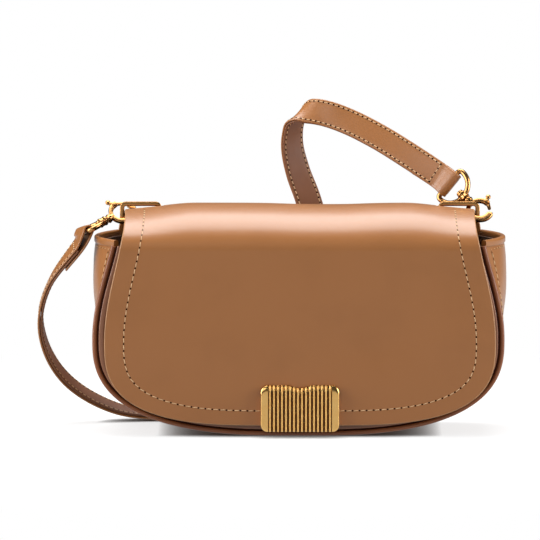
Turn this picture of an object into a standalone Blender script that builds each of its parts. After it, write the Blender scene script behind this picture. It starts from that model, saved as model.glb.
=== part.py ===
"""Leather shoulder bag with a fold-over flap, a flat strap and snap hooks.

Metres, +Z up.  The origin is the middle of the flat base, the flap faces -Y and
the strap's left arc reaches furthest along -X.  Each sub-part is one object, and
the moving ones hang from an empty that sits on their joint's axis.
"""

from math import atan2, cos, pi, radians, sin, sqrt

import bmesh
import bpy
from mathutils import Matrix, Vector

MM = 0.001

# Clearances
SEAM_GAP = 0.3 * MM
CUT_OVERRUN = 2.0 * MM
CUT_EASE = 0.02 * MM

# Body outline, seen from the front
BODY_HALF_WIDTH = 122.5 * MM
BODY_WAIST_HEIGHT = 58.0 * MM
BODY_FLAT_HALF = 45.0 * MM
BODY_OPEN_HEIGHT = 114.4 * MM
BODY_DRAW_IN = 15.0 * MM
SHOULDER_RISE = 85.0 * MM
BODY_CORNER_POWER = 2.0
BODY_DEPTH = 72.0 * MM

# Leather and lining of the body
PANEL_THICKNESS = 2.0 * MM
GUSSET_THICKNESS = 2.0 * MM
GUSSET_BULGE = 12.0 * MM
BINDING_BAND = 3.0 * MM
BINDING_PROUD = 1.0 * MM
BINDING_DEPTH = 4.5 * MM
BINDING_ROUND = 0.8 * MM
RIM_HEIGHT = 3.0 * MM
RIM_THICKNESS = 3.6 * MM
LINING_THICKNESS = 1.0 * MM
LINING_SIDE_SPACE = 2.3 * MM
LINING_PANEL_SPACE = 1.4 * MM
BASE_BOARD_THICKNESS = 1.7 * MM
BASE_BOARD_MARGIN = 3.0 * MM

# Ridge and flap
RIDGE_RISE = 22.6 * MM
ARCH_SPRING_DROP = 2.4 * MM
RIDGE_HALF_WIDTH = 104.5 * MM
NOTCH_HALF_WIDTH = 82.0 * MM
NOTCH_DEPTH = 13.0 * MM
RIDGE_CORNER_DROOP = 3.5 * MM
DROOP_START = 62.0 * MM
FLAP_THICKNESS = 1.4 * MM
FLAP_HALF_WIDTH = 117.0 * MM
FLAP_WAIST_HEIGHT = 57.0 * MM
FLAP_FLAT_HALF = 30.0 * MM
FLAP_FOOT_HEIGHT = 8.0 * MM
FLAP_CORNER_POWER = 2.4
FLAP_LINING_THICKNESS = 0.8 * MM
FLAP_LINING_INSET = 1.0 * MM
FLAP_LINING_START_TURN = 0.13
FLAP_PLY_SPACE = 1.2 * MM
SNAP_SPACE = 3.4 * MM

# Closure
CLASP_WIDTH = 47.2 * MM
CLASP_HEIGHT = 28.0 * MM
CLASP_CENTRE_HEIGHT = 17.6 * MM
CLASP_CORNER = 4.2 * MM
CLASP_PLATE = 2.6 * MM
CLASP_RIB_RISE = 1.3 * MM
CLASP_RIB_COUNT = 16
CLASP_END_FLAT = 4.4 * MM
CLASP_EDGE = 0.5 * MM
CLASP_RIB_SHARES = ((0.22, 0.72), (0.5, 1.0), (0.78, 0.72))
THUMB_DIP_WIDTH = 13.2 * MM
THUMB_DIP_DEPTH = 1.6 * MM
WASHER_WIDTH = 24.0 * MM
WASHER_HEIGHT = 10.0 * MM
WASHER_THICKNESS = 0.6 * MM
MAGNET_RADIUS = 8.5 * MM
MAGNET_THICKNESS = 1.25 * MM
MAGNET_BOSS_RADIUS = 3.0 * MM
MAGNET_RIM = 0.35 * MM

# Strap rings in their leather tabs
RING_WIDTH = 25.0 * MM
RING_CENTRE_X = 96.0 * MM
RING_WIRE_RADIUS = 1.25 * MM
RING_RISE = 11.5 * MM
RING_CORNER = 2.4 * MM
RING_PLANE = 4.0 * MM
TAB_WIDTH = 10.4 * MM
TAB_CENTRE_X = 92.0 * MM
TAB_THICKNESS = 1.2 * MM
TAB_REACH_SHARE = 0.78
TAB_LEAVE_SHARE = 0.46
TAB_START_ANGLE = radians(-35.0)
TAB_FOLD_SWEEP = radians(250.0)

# Snap hooks
HOOK_LEAN = radians(42.0)
HOOK_OUTER_RADIUS = 8.5 * MM
HOOK_HOLE_RADIUS = 5.3 * MM
HOOK_FAR_SHIFT = 0.6 * MM
HOOK_THICKNESS = 2.6 * MM
HOOK_ROUND = 0.6 * MM
HOOK_NOSE_ANGLE = radians(-60.0)
HOOK_FORK_ANGLE = radians(-4.0)
FORK_NOSE_ANGLE = radians(-12.0)
FORK_ROOT_ANGLE = radians(30.0)
HOOK_LEG_PLAY = 1.0 * MM
HOOK_LEG_OFFSET = 1.2 * MM
HOOK_LEG_OFFSET_ANGLE = radians(160.0)
RIGHT_NECK_ANGLE = radians(133.0)
LEFT_NECK_ANGLE = radians(213.3)
NECK_RADIUS = 2.2 * MM
NECK_END = 10.6 * MM
GATE_THICKNESS = 1.0 * MM
GATE_HALF_WIDTH = 1.0 * MM
GATE_EYE_RADIUS = 1.7 * MM
GATE_LENGTH = 6.0 * MM
GATE_PIVOT_ANGLE = radians(10.0)
GATE_TIP_ANGLE = radians(-50.0)
GATE_KNOB_ANGLE = radians(17.0)
GATE_BEND_SHARE = 1.2
GATE_EYE_START = radians(50.0)
GATE_EYE_SWEEP = radians(150.0)
KNOB_RADIUS = 1.5 * MM
KNOB_REACH = 11.0 * MM
RIVET_RADIUS = 0.7 * MM
RIVET_HEAD_RADIUS = 1.3 * MM
RIVET_HEAD = 0.45 * MM

# Swivel pins and D rings
PIN_RADIUS = 1.2 * MM
PIN_HEAD_RADIUS = 2.3 * MM
PIN_HEAD_THICKNESS = 1.4 * MM
PIN_CROWN_SHARE = 0.7
BLOCK_RADIUS = 2.9 * MM
BLOCK_LENGTH = 5.0 * MM
D_WIRE_RADIUS = 1.6 * MM
D_HALF_WIDTH = 10.7 * MM
D_CORNER = 2.3 * MM
D_REACH = 13.0 * MM

# Strap
STRAP_WIDTH = 16.0 * MM
STRAP_FACE_THICKNESS = 1.4 * MM
STRAP_BACKING_THICKNESS = 1.2 * MM
STRAP_FOLD_EASE = 0.3 * MM
STRAP_STRAIGHT = 6.0 * MM
STRAP_LEAD = 10.0 * MM
STRAP_TAIL = 24.0 * MM
STRAP_STATION = 4.0 * MM
STRAP_BODY_CLEARANCE = 3.0 * MM
STRAP_FLOOR_CLEARANCE = 0.9 * MM
STRAP_LEFT_WAY = (-0.5, 0.0, -0.86)

# Side and step counts of round pieces
WIRE_SIDES = 8
TURNED_SIDES = 20
SMALL_SIDES = 12
BLOCK_SIDES = 16
HOOK_STEPS = 30
LEVER_STEPS = 6
DIP_STEPS = 8
BEND_STEPS = 3
CLASP_CORNER_STEPS = 5
D_ARC_STEPS = 18
ARCH_STEPS = 9
CORNER_STEPS = 10
SIDE_STEPS = 6
DEPTH_STEPS = 6
PANEL_STEPS = 10
STRAP_DENSE_STEPS = 14
FOLD_STEPS = 8

# Worked-out places
RIDGE_HEIGHT = BODY_OPEN_HEIGHT + RIDGE_RISE
ARCH_SPRING_HEIGHT = BODY_OPEN_HEIGHT - ARCH_SPRING_DROP
RING_TOP_HEIGHT = RIDGE_HEIGHT
FRONT = -BODY_DEPTH / 2
BACK = BODY_DEPTH / 2
FLAP_MIDDLE_FRONT = (
    FRONT - SNAP_SPACE - FLAP_LINING_THICKNESS - FLAP_PLY_SPACE - FLAP_THICKNESS / 2
)
FLAP_LINING_FRONT = FRONT - SNAP_SPACE - FLAP_LINING_THICKNESS / 2
FLAP_FACE = FLAP_MIDDLE_FRONT - FLAP_THICKNESS / 2
BACK_MIDDLE = BACK - PANEL_THICKNESS / 2
CREST = RIDGE_HEIGHT - FLAP_THICKNESS / 2
BINDING_FACE = FRONT - BINDING_PROUD
BINDING_INNER = BINDING_FACE + BINDING_DEPTH
GUSSET_EDGE = -BINDING_INNER - SEAM_GAP
BACK_SPRING = BODY_OPEN_HEIGHT
STRAP_STACK = STRAP_FACE_THICKNESS + SEAM_GAP + STRAP_BACKING_THICKNESS
FACE_OFFSET = (STRAP_STACK - STRAP_FACE_THICKNESS) / 2
BACKING_OFFSET = -(STRAP_STACK - STRAP_BACKING_THICKNESS) / 2
TAIL_OFFSET = STRAP_STACK / 2 + SEAM_GAP + STRAP_FOLD_EASE + STRAP_FACE_THICKNESS / 2
STRAP_BACK_PLANE = BACK + BINDING_PROUD + STRAP_WIDTH / 2 + STRAP_BODY_CLEARANCE
STRAP_FLOOR = STRAP_STACK / 2 + STRAP_FLOOR_CLEARANCE
BAR_DISTANCE = NECK_END + 2 * SEAM_GAP + BLOCK_LENGTH / 2 + D_REACH

# The strap's way from the right D ring to the left one.  Each row is a place as
# shares of the body's half width, the plane behind the bag and the ridge height,
# and the direction that the strap's outer face looks.
STRAP_WAY_SHARES = (
    ((0.536, 0.594, 1.196), (-0.25, -0.90, 0.40)),
    ((0.392, 0.729, 1.273), (-0.15, -0.90, 0.42)),
    ((0.248, 0.833, 1.337), (-0.10, -0.93, 0.36)),
    ((0.131, 0.896, 1.374), (-0.12, -0.95, 0.28)),
    ((0.056, 0.948, 1.383), (-0.42, -0.76, 0.50)),
    ((0.005, 1.042, 1.371), (-0.72, -0.10, 0.69)),
    ((-0.023, 1.135, 1.331), (-0.70, 0.55, 0.46)),
    ((-0.036, 1.198, 1.277), (-0.70, 0.70, 0.14)),
    ((-0.036, 1.229, 1.207), (-0.62, 0.78, 0.00)),
    ((-0.007, 1.246, 1.096), (-0.48, 0.88, 0.00)),
    ((0.044, 1.215, 0.970), (-0.30, 0.95, 0.00)),
    ((0.088, 1.156, 0.801), (0.05, 1.00, 0.00)),
    ((0.098, 1.079, 0.601), (0.50, 0.86, 0.00)),
    ((0.049, 1.025, 0.394), (0.90, 0.42, -0.10)),
    ((-0.075, 1.000, 0.140), (0.75, 0.0, -0.65)),
    ((-0.260, 0.990, 0.022), (0.20, 0.0, -1.0)),
    ((-0.480, 0.960, 0.000), (0.0, 0.0, -1.0)),
    ((-0.720, 0.925, 0.000), (-0.05, 0.0, -1.0)),
    ((-0.905, 0.860, 0.036), (-0.30, 0.0, -0.95)),
    ((-1.069, 0.730, 0.112), (-0.62, 0.0, -0.78)),
    ((-1.186, 0.560, 0.213), (-0.85, 0.0, -0.52)),
    ((-1.260, 0.385, 0.345), (-0.97, 0.0, -0.20)),
    ((-1.280, 0.215, 0.487), (-1.0, 0.0, 0.05)),
    ((-1.225, 0.045, 0.650), (-0.93, 0.0, 0.35)),
)


def clear_scene():
    """Take away whatever the file opened with."""
    for thing in list(bpy.data.objects):
        bpy.data.objects.remove(thing, do_unlink=True)


def ease(share):
    """A smooth 0 to 1 step."""
    share = min(1.0, max(0.0, share))
    return (1 - cos(pi * share)) / 2


# Building blocks


def finish(name, colour, roughness, metallic):
    """A plain Principled material for one piece."""
    made = bpy.data.materials.new(name)
    made.use_nodes = True
    shader = made.node_tree.nodes["Principled BSDF"]
    shader.inputs["Base Color"].default_value = (*colour, 1.0)
    shader.inputs["Roughness"].default_value = roughness
    shader.inputs["Metallic"].default_value = metallic
    return made


LEATHER = ((0.36, 0.15, 0.055), 0.42, 0.0)
LEATHER_EDGE = ((0.16, 0.06, 0.025), 0.55, 0.0)
LINING_CLOTH = ((0.30, 0.17, 0.09), 0.85, 0.0)
GOLD = ((0.83, 0.58, 0.24), 0.18, 1.0)
STEEL = ((0.62, 0.60, 0.57), 0.35, 1.0)
BOARD = ((0.20, 0.17, 0.14), 0.80, 0.0)


def node(name, mesh, look, carrier=None):
    """Make one named sub-part from a mesh in the part's own frame."""
    bmesh.ops.recalc_face_normals(mesh, faces=mesh.faces)
    data = bpy.data.meshes.new(name)
    made = bpy.data.objects.new(name, data)
    bpy.context.scene.collection.objects.link(made)
    if carrier is not None:
        bmesh.ops.translate(mesh, verts=mesh.verts, vec=-PIVOTS[carrier.name])
        made.parent = carrier
    mesh.to_mesh(data)
    mesh.free()
    data.shade_smooth()
    data.set_sharp_from_angle(angle=radians(32.0))
    data.materials.append(finish(name, *look))
    return made


PIVOTS = {}


def pivot(name, place, parent=None):
    """An empty on a joint's axis, which carries the pieces of one moving body."""
    empty = bpy.data.objects.new(name, None)
    bpy.context.scene.collection.objects.link(empty)
    PIVOTS[name] = Vector(place)
    empty.parent = parent
    start = PIVOTS[parent.name] if parent is not None else Vector((0, 0, 0))
    empty.location = PIVOTS[name] - start
    return empty


def loft(rings, closed=False):
    """Join matching rings of points into one skin, capped unless it closes."""
    mesh = bmesh.new()
    rows = [[mesh.verts.new(point) for point in ring] for ring in rings]
    pairs = list(zip(rows, rows[1:]))
    if closed:
        pairs.append((rows[-1], rows[0]))
    for low, high in pairs:
        for here in range(len(low)):
            after = (here + 1) % len(low)
            mesh.faces.new((low[here], low[after], high[after], high[here]))
    if not closed:
        mesh.faces.new(rows[0])
        mesh.faces.new(rows[-1])
    return mesh


def prism(outline, low, high):
    """An outline in X and Z, carried along Y from low to high."""
    return loft([[Vector((x, y, z)) for x, z in outline] for y in (low, high)])


def disc_prism(outline, low, high):
    """An outline in X and Y, carried along Z from low to high."""
    return loft([[Vector((x, y, z)) for x, y in outline] for z in (low, high)])


def turned(profile, sides=TURNED_SIDES):
    """A solid turned about Z from (radius, height) points, flat at both ends."""
    rings = []
    for radius, height in profile:
        turns = [2 * pi * k / sides for k in range(sides)]
        rings.append([Vector((radius * cos(t), radius * sin(t), height)) for t in turns])
    return loft(rings)


def rounded_section(half_a, half_b, corner):
    """A rectangle with cut corners, as pairs of offsets."""
    a, b = half_a - corner, half_b - corner
    return (
        (half_a, b), (a, half_b), (-a, half_b), (-half_a, b),
        (-half_a, -b), (-a, -half_b), (a, -half_b), (half_a, -b),
    )


def wire(points, normal, radius, closed=True):
    """A round wire bent in one plane."""
    rings, count = [], len(points)
    for here, point in enumerate(points):
        before = points[(here - 1) % count]
        after = points[(here + 1) % count]
        along = (after - before).normalized()
        side = along.cross(normal).normalized()
        turns = [2 * pi * (k + 0.5) / WIRE_SIDES for k in range(WIRE_SIDES)]
        rings.append([point + radius * (cos(t) * side + sin(t) * normal) for t in turns])
    return loft(rings, closed)


def rounded_rectangle(width, height, corner, steps=4):
    """Points round a rectangle with round corners, centred on zero."""
    points = []
    for quarter, (sx, sz) in enumerate(((1, 1), (-1, 1), (-1, -1), (1, -1))):
        cx, cz = sx * (width / 2 - corner), sz * (height / 2 - corner)
        for k in range(steps + 1):
            turn = pi / 2 * (quarter + k / steps)
            points.append((cx + corner * cos(turn), cz + corner * sin(turn)))
    return points


def guide(name, mesh, carrier=None):
    """A hidden solid that a Boolean reads."""
    made = node(name, mesh, STEEL, carrier)
    made.hide_render = True
    made.display_type = "WIRE"
    return made


def boolean(target, other, operation):
    """Combine a piece with a hidden solid."""
    step = target.modifiers.new(other.name, "BOOLEAN")
    step.operation = operation
    step.solver = "EXACT"
    step.object = other


# Outlines of the body and the flap


def half_width(height, widest, waist, flat, foot, power, draw_in):
    """Half width of a panel that draws in towards its top and rounds in below."""
    if height >= waist:
        return widest - draw_in * ease((height - waist) / SHOULDER_RISE)
    drop = (waist - height) / (waist - foot)
    return flat + (widest - flat) * max(0.0, 1 - drop**power) ** (1 / power)


def panel_heights(top, waist, foot, power):
    """Heights down one side of a panel, close together where it rounds in."""
    heights = [top + (waist - top) * k / SIDE_STEPS for k in range(SIDE_STEPS)]
    for k in range(CORNER_STEPS + 1):
        turn = pi / 2 * k / CORNER_STEPS
        heights.append(waist - (waist - foot) * sin(turn) ** (2 / power))
    return heights


def body_outline(top, inset=0.0):
    """Points of the body from its left top corner under the base to the right."""
    heights = panel_heights(top, BODY_WAIST_HEIGHT, 0.0, BODY_CORNER_POWER)
    right = []
    for height in heights:
        x = half_width(
            height, BODY_HALF_WIDTH, BODY_WAIST_HEIGHT, BODY_FLAT_HALF, 0.0,
            BODY_CORNER_POWER, BODY_DRAW_IN,
        )
        right.append(Vector((x, height)))
    left = [Vector((-p.x, p.y)) for p in right]
    path = left + right[::-1]
    moved = []
    for here, point in enumerate(path):
        before, after = path[max(0, here - 1)], path[min(len(path) - 1, here + 1)]
        along = (after - before).normalized()
        inward = Vector((-along.y, along.x))
        if here in (0, len(path) - 1):
            inward = Vector((1.0 if here == 0 else -1.0, 0.0))
        moved.append(point + inset * inward)
    return moved


def bulge_at(height, across_share):
    """How far the side strip swells outwards at a height and across the depth."""
    rise = (height - BODY_WAIST_HEIGHT) / (BODY_OPEN_HEIGHT - BODY_WAIST_HEIGHT)
    return GUSSET_BULGE * ease(rise) * (1 - across_share**2)


def strip_point(point, y, edge):
    """A point of the side strip, swollen sideways between its two seams."""
    swell = bulge_at(point.y, y / edge)
    side = 1 if point.x > 0 else -1
    return Vector((point.x + side * swell, y, point.y))


# Body


def build_panels():
    """Front panel, and the back panel that runs over to the ridge."""
    inset = BINDING_BAND + SEAM_GAP
    front = [tuple(p) for p in body_outline(BODY_OPEN_HEIGHT, inset)]
    node("front_panel", prism(front, FRONT, FRONT + PANEL_THICKNESS), LEATHER)

    rows = []
    heights = panel_heights(BACK_SPRING, BODY_WAIST_HEIGHT, 0.0, BODY_CORNER_POWER)
    lower = body_outline(BACK_SPRING, inset)[: len(heights)]
    for point in lower[::-1]:
        rows.append((-point.x, BACK_MIDDLE, point.y, Vector((0, 1, 0)), PANEL_THICKNESS))
    spring_half = -lower[0].x
    for k in range(1, ARCH_STEPS + 1):
        turn = pi / 2 * k / ARCH_STEPS
        y = BACK_MIDDLE * cos(turn)
        z = BACK_SPRING + (CREST - BACK_SPRING) * sin(turn)
        half = spring_half + (RIDGE_HALF_WIDTH - spring_half) * ease(k / ARCH_STEPS)
        if y < NOTCH_DEPTH:
            half = NOTCH_HALF_WIDTH
        outward = Vector((0, (CREST - BACK_SPRING) * cos(turn), BACK_MIDDLE * sin(turn)))
        blend = k / ARCH_STEPS
        thick = PANEL_THICKNESS + (FLAP_THICKNESS - PANEL_THICKNESS) * blend
        if k == ARCH_STEPS:
            y = FLAP_THICKNESS / 2 + SEAM_GAP
        rows.append((half, y, z, outward.normalized(), thick))
    node("back_panel", sheet_solid(rows, droop), LEATHER)


def sheet_solid(rows, lift=None):
    """A sheet given by rows of (half width, y, z, outward, thickness)."""
    rings = []
    for half, y, z, outward, thick in rows:
        shares = [2 * k / PANEL_STEPS - 1 for k in range(PANEL_STEPS + 1)]
        outer, inner = [], []
        for share in shares:
            place = Vector((half * share, y, z))
            if lift is not None:
                place = place + lift(place)
            outer.append(place + outward * thick / 2)
            inner.append(place - outward * thick / 2)
        rings.append(outer + inner[::-1])
    return loft(rings)


def build_gusset():
    """The strip round the sides and base, swollen at its two open tops."""
    outer = body_outline(BODY_OPEN_HEIGHT)
    inner = body_outline(BODY_OPEN_HEIGHT, GUSSET_THICKNESS)
    ys = [GUSSET_EDGE * (2 * k / DEPTH_STEPS - 1) for k in range(DEPTH_STEPS + 1)]
    rings = []
    for out, into in zip(outer, inner):
        ring = [strip_point(out, y, GUSSET_EDGE) for y in ys]
        ring += [strip_point(into, y, GUSSET_EDGE) for y in reversed(ys)]
        rings.append(ring)
    node("gusset", loft(rings), LEATHER)

    for side, word in ((-1, "left"), (1, "right")):
        rings = []
        seat = BODY_OPEN_HEIGHT + SEAM_GAP + RIM_HEIGHT / 2
        edge = Vector((side * (abs(outer[0].x) - GUSSET_THICKNESS / 2), BODY_OPEN_HEIGHT))
        for y in ys:
            middle = strip_point(edge, y, GUSSET_EDGE)
            section = rounded_section(RIM_THICKNESS / 2, RIM_HEIGHT / 2, BINDING_ROUND)
            rings.append([Vector((middle.x + a, y, seat + b)) for a, b in section])
        node("gusset_rim_" + word, loft(rings), LEATHER_EDGE)


def build_bindings():
    """The raised rims that cover the front and back seams."""
    middle = body_outline(BODY_OPEN_HEIGHT, BINDING_BAND / 2)
    outer = body_outline(BODY_OPEN_HEIGHT)
    section = rounded_section(BINDING_BAND / 2, BINDING_DEPTH / 2, BINDING_ROUND)
    for side, word in ((1, "front"), (-1, "back")):
        depth = side * (BINDING_FACE + BINDING_DEPTH / 2)
        rings = []
        for centre, edge in zip(middle, outer):
            outward = (edge - centre).normalized()
            ring = []
            for a, b in section:
                flat = centre + outward * a
                ring.append(Vector((flat.x, depth + b, flat.y)))
            rings.append(ring)
        node(word + "_edge_binding", loft(rings), LEATHER_EDGE)


def build_lining():
    """The open-topped cloth lining and the board on the base."""
    space = GUSSET_THICKNESS + LINING_SIDE_SPACE
    depth = BACK - PANEL_THICKNESS - LINING_PANEL_SPACE
    mesh = bmesh.new()
    rims = []
    for inset, half in ((space, depth), (space + LINING_THICKNESS, depth - LINING_THICKNESS)):
        path = body_outline(BODY_OPEN_HEIGHT, inset)
        ys = [half * (2 * k / DEPTH_STEPS - 1) for k in range(DEPTH_STEPS + 1)]
        rows = [[mesh.verts.new(strip_point(p, y, half)) for y in ys] for p in path]
        for low, high in zip(rows, rows[1:]):
            for k in range(DEPTH_STEPS):
                mesh.faces.new((low[k], low[k + 1], high[k + 1], high[k]))
        mesh.faces.new([row[0] for row in rows])
        mesh.faces.new([row[-1] for row in reversed(rows)])
        rims.append(rows[0][::-1] + rows[-1])
    outer, inner = rims
    for here in range(len(outer)):
        after = (here + 1) % len(outer)
        mesh.faces.new((outer[here], outer[after], inner[after], inner[here]))
    node("body_lining", mesh, LINING_CLOTH)

    low = GUSSET_THICKNESS + SEAM_GAP
    section = rounded_rectangle(
        2 * (BODY_FLAT_HALF - BASE_BOARD_MARGIN), 2 * (GUSSET_EDGE - BASE_BOARD_MARGIN),
        BASE_BOARD_MARGIN,
    )
    node("base_stiffener", disc_prism(section, low, low + BASE_BOARD_THICKNESS), BOARD)


# Flap


def droop(place):
    """The ridge's two corners sag a little below its middle."""
    rise = (place.z - ARCH_SPRING_HEIGHT) / (CREST - ARCH_SPRING_HEIGHT)
    out = (abs(place.x) - DROOP_START) / (RIDGE_HALF_WIDTH - DROOP_START)
    return Vector((0, 0, -RIDGE_CORNER_DROOP * ease(out) * ease(rise)))


def flap_rows(front, crest, thick, inset, start_turn):
    """Rows of a flap ply from the ridge over the arch to its lower edge."""
    def width(height):
        return half_width(
            height, FLAP_HALF_WIDTH, FLAP_WAIST_HEIGHT, FLAP_FLAT_HALF, FLAP_FOOT_HEIGHT,
            FLAP_CORNER_POWER, FLAP_HALF_WIDTH - RIDGE_HALF_WIDTH,
        ) - inset

    rows = []
    rise = crest - ARCH_SPRING_HEIGHT
    for k in range(ARCH_STEPS + 1):
        turn = start_turn + (pi / 2 - start_turn) * k / ARCH_STEPS
        y, z = front * sin(turn), ARCH_SPRING_HEIGHT + rise * cos(turn)
        outward = Vector((0, -rise * sin(turn), -front * cos(turn))).normalized()
        rows.append((width(z), y, z, outward, thick))
    for height in panel_heights(
        ARCH_SPRING_HEIGHT, FLAP_WAIST_HEIGHT, FLAP_FOOT_HEIGHT, FLAP_CORNER_POWER
    )[1:]:
        low = max(height, FLAP_FOOT_HEIGHT + inset)
        rows.append((width(height), front, low, Vector((0, -1, 0)), thick))
    return rows


def build_flap(hinge):
    """Outer leather, its lining, the ribbed clasp plate and the magnetic snap."""
    outer = flap_rows(FLAP_MIDDLE_FRONT, CREST, FLAP_THICKNESS, 0.0, 0.0)
    node("flap_leather", sheet_solid(outer, droop), LEATHER, hinge)
    crest = CREST - FLAP_THICKNESS / 2 - FLAP_PLY_SPACE - FLAP_LINING_THICKNESS / 2
    inner = flap_rows(
        FLAP_LINING_FRONT, crest, FLAP_LINING_THICKNESS, FLAP_LINING_INSET,
        FLAP_LINING_START_TURN,
    )
    node("flap_lining", sheet_solid(inner, droop), LINING_CLOTH, hinge)

    build_clasp(hinge)
    washer = [(x, z + CLASP_CENTRE_HEIGHT) for x, z in rounded_rectangle(
        WASHER_WIDTH, WASHER_HEIGHT, WASHER_HEIGHT / 4)]
    seat = FLAP_LINING_FRONT - FLAP_LINING_THICKNESS / 2 - SEAM_GAP
    node("clasp_washer", prism(washer, seat - WASHER_THICKNESS, seat), STEEL, hinge)
    panel_back = FRONT + PANEL_THICKNESS + SEAM_GAP
    node("snap_washer", prism(washer, panel_back, panel_back + WASHER_THICKNESS), STEEL)

    step = MAGNET_THICKNESS - MAGNET_RIM
    face = FRONT - SEAM_GAP
    profile = (
        (MAGNET_RADIUS, 0.0), (MAGNET_RADIUS, step),
        (MAGNET_RADIUS - MAGNET_RIM, MAGNET_THICKNESS), (MAGNET_BOSS_RADIUS, MAGNET_THICKNESS),
    )
    turn = Matrix.Translation((0, face, CLASP_CENTRE_HEIGHT)) @ Matrix.Rotation(pi / 2, 4, "X")
    body_half = turned(profile)
    body_half.transform(turn)
    node("body_magnet", body_half, GOLD)
    face = FRONT - SNAP_SPACE + SEAM_GAP
    turn = Matrix.Translation((0, face, CLASP_CENTRE_HEIGHT)) @ Matrix.Rotation(-pi / 2, 4, "X")
    flap_half = turned(profile)
    flap_half.transform(turn)
    node("flap_magnet", flap_half, GOLD, hinge)


def build_clasp(hinge):
    """A plate with upright ribs, round corners and a thumb dip in its top edge."""
    seat = FLAP_FACE - SEAM_GAP
    half = CLASP_WIDTH / 2
    rib = (CLASP_WIDTH - 2 * CLASP_END_FLAT) / CLASP_RIB_COUNT
    front = seat - CLASP_PLATE
    crown = front - CLASP_RIB_RISE
    profile = [(half, seat), (half, crown + CLASP_EDGE), (half - CLASP_EDGE, crown)]
    right = half - CLASP_END_FLAT
    for k in range(CLASP_RIB_COUNT):
        start = right - rib * k
        profile += [(start, crown), (start, front)]
        for share, rise in CLASP_RIB_SHARES:
            profile.append((start - rib * share, front - CLASP_RIB_RISE * rise))
    profile += [(-right, front), (-right, crown)]
    profile += [(-half + CLASP_EDGE, crown), (-half, crown + CLASP_EDGE), (-half, seat)]
    low = CLASP_CENTRE_HEIGHT - CLASP_HEIGHT / 2
    high = low + CLASP_HEIGHT
    plate = disc_prism(profile, low, high)
    clasp = node("clasp_plate", plate, GOLD, hinge)

    outline = []
    width = CLASP_WIDTH + CUT_EASE
    for x, z in rounded_rectangle(width, CLASP_HEIGHT, CLASP_CORNER, CLASP_CORNER_STEPS):
        outline.append((x, z + CLASP_CENTRE_HEIGHT))
    top = [k for k, (x, z) in enumerate(outline) if z >= high - CUT_EASE]
    dip = []
    for k in range(DIP_STEPS + 1):
        share = k / DIP_STEPS
        x = THUMB_DIP_WIDTH * (0.5 - share)
        dip.append((x, high - THUMB_DIP_DEPTH * sin(pi * share)))
    cut_at = max(k for k in top if outline[k][0] > 0) + 1
    outline[cut_at:cut_at] = dip
    form = guide("clasp_outline", prism(outline, crown - CUT_OVERRUN, seat + CUT_OVERRUN))
    boolean(clasp, form, "INTERSECT")


# Strap rings and tabs


def build_rings(swing):
    """The two rectangular rings, and the leather tabs that hold their lower bars."""
    across = RING_WIDTH - 2 * RING_WIRE_RADIUS
    middle = RING_TOP_HEIGHT - RING_RISE / 2
    for side, word in ((-1, "left"), (1, "right")):
        flat = rounded_rectangle(across, RING_RISE, RING_CORNER, BEND_STEPS)
        points = [Vector((side * RING_CENTRE_X + x, RING_PLANE, middle + z)) for x, z in flat]
        ring = wire(points, Vector((0, 1, 0)), RING_WIRE_RADIUS)
        node("strap_ring_" + word, ring, GOLD, swing)
        build_tab(side, word, Vector((RING_PLANE, RING_TOP_HEIGHT - RING_RISE)))


def build_tab(side, word, bar):
    """A leather tab: round the ring's bar, then up under the back of the ridge."""
    path = []
    reach = RING_WIRE_RADIUS + SEAM_GAP + TAB_THICKNESS / 2
    for k in range(FOLD_STEPS + 1):
        turn = TAB_START_ANGLE - TAB_FOLD_SWEEP * k / FOLD_STEPS
        path.append(bar + reach * Vector((cos(turn), sin(turn))))
    drop = PANEL_THICKNESS + SEAM_GAP + TAB_THICKNESS / 2 - PANEL_THICKNESS / 2
    for k in range(FOLD_STEPS + 1):
        share = TAB_LEAVE_SHARE + (TAB_REACH_SHARE - TAB_LEAVE_SHARE) * k / FOLD_STEPS
        turn = pi / 2 * share
        y = (BACK_MIDDLE - drop) * sin(turn)
        z = BACK_SPRING + (CREST - drop - BACK_SPRING) * cos(turn)
        path.append(Vector((y, z)))
    rings = []
    for here, point in enumerate(path):
        before, after = path[max(0, here - 1)], path[min(len(path) - 1, here + 1)]
        along = (after - before).normalized()
        off = Vector((-along.y, along.x)) * TAB_THICKNESS / 2
        ring = []
        for x, way in ((-1, 1), (1, 1), (1, -1), (-1, -1)):
            flat = point + way * off
            place = Vector((side * TAB_CENTRE_X + x * TAB_WIDTH / 2, flat.x, flat.y))
            if here > FOLD_STEPS:
                place = place + droop(place)
            ring.append(place)
        rings.append(ring)
    node("ring_tab_" + word, loft(rings), LEATHER)


# Snap hooks


def hook_frame(side):
    """The hook's own frame: X and Y in its plane with Y along its neck, Z to the front."""
    neck = RIGHT_NECK_ANGLE if side > 0 else LEFT_NECK_ANGLE
    up = Vector((0, sin(HOOK_LEAN), cos(HOOK_LEAN)))
    across = Vector((1, 0, 0))
    front = across.cross(up)
    y_axis = cos(neck) * across + sin(neck) * up
    x_axis = y_axis.cross(front)
    leg_x = side * (RING_CENTRE_X + RING_WIDTH / 2 - RING_WIRE_RADIUS)
    height = RING_TOP_HEIGHT - RING_RISE / 2 + side * HOOK_LEG_PLAY
    crossing = Vector((leg_x, RING_PLANE, height))
    off = HOOK_LEG_OFFSET * (
        cos(HOOK_LEG_OFFSET_ANGLE) * x_axis + sin(HOOK_LEG_OFFSET_ANGLE) * y_axis
    )
    place = Matrix((x_axis, y_axis, front)).transposed().to_4x4()
    place.translation = crossing - off
    return place


def band_point(angle, radius):
    """A point of the hook's plane."""
    return Vector((radius * cos(angle), radius * sin(angle)))


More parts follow.
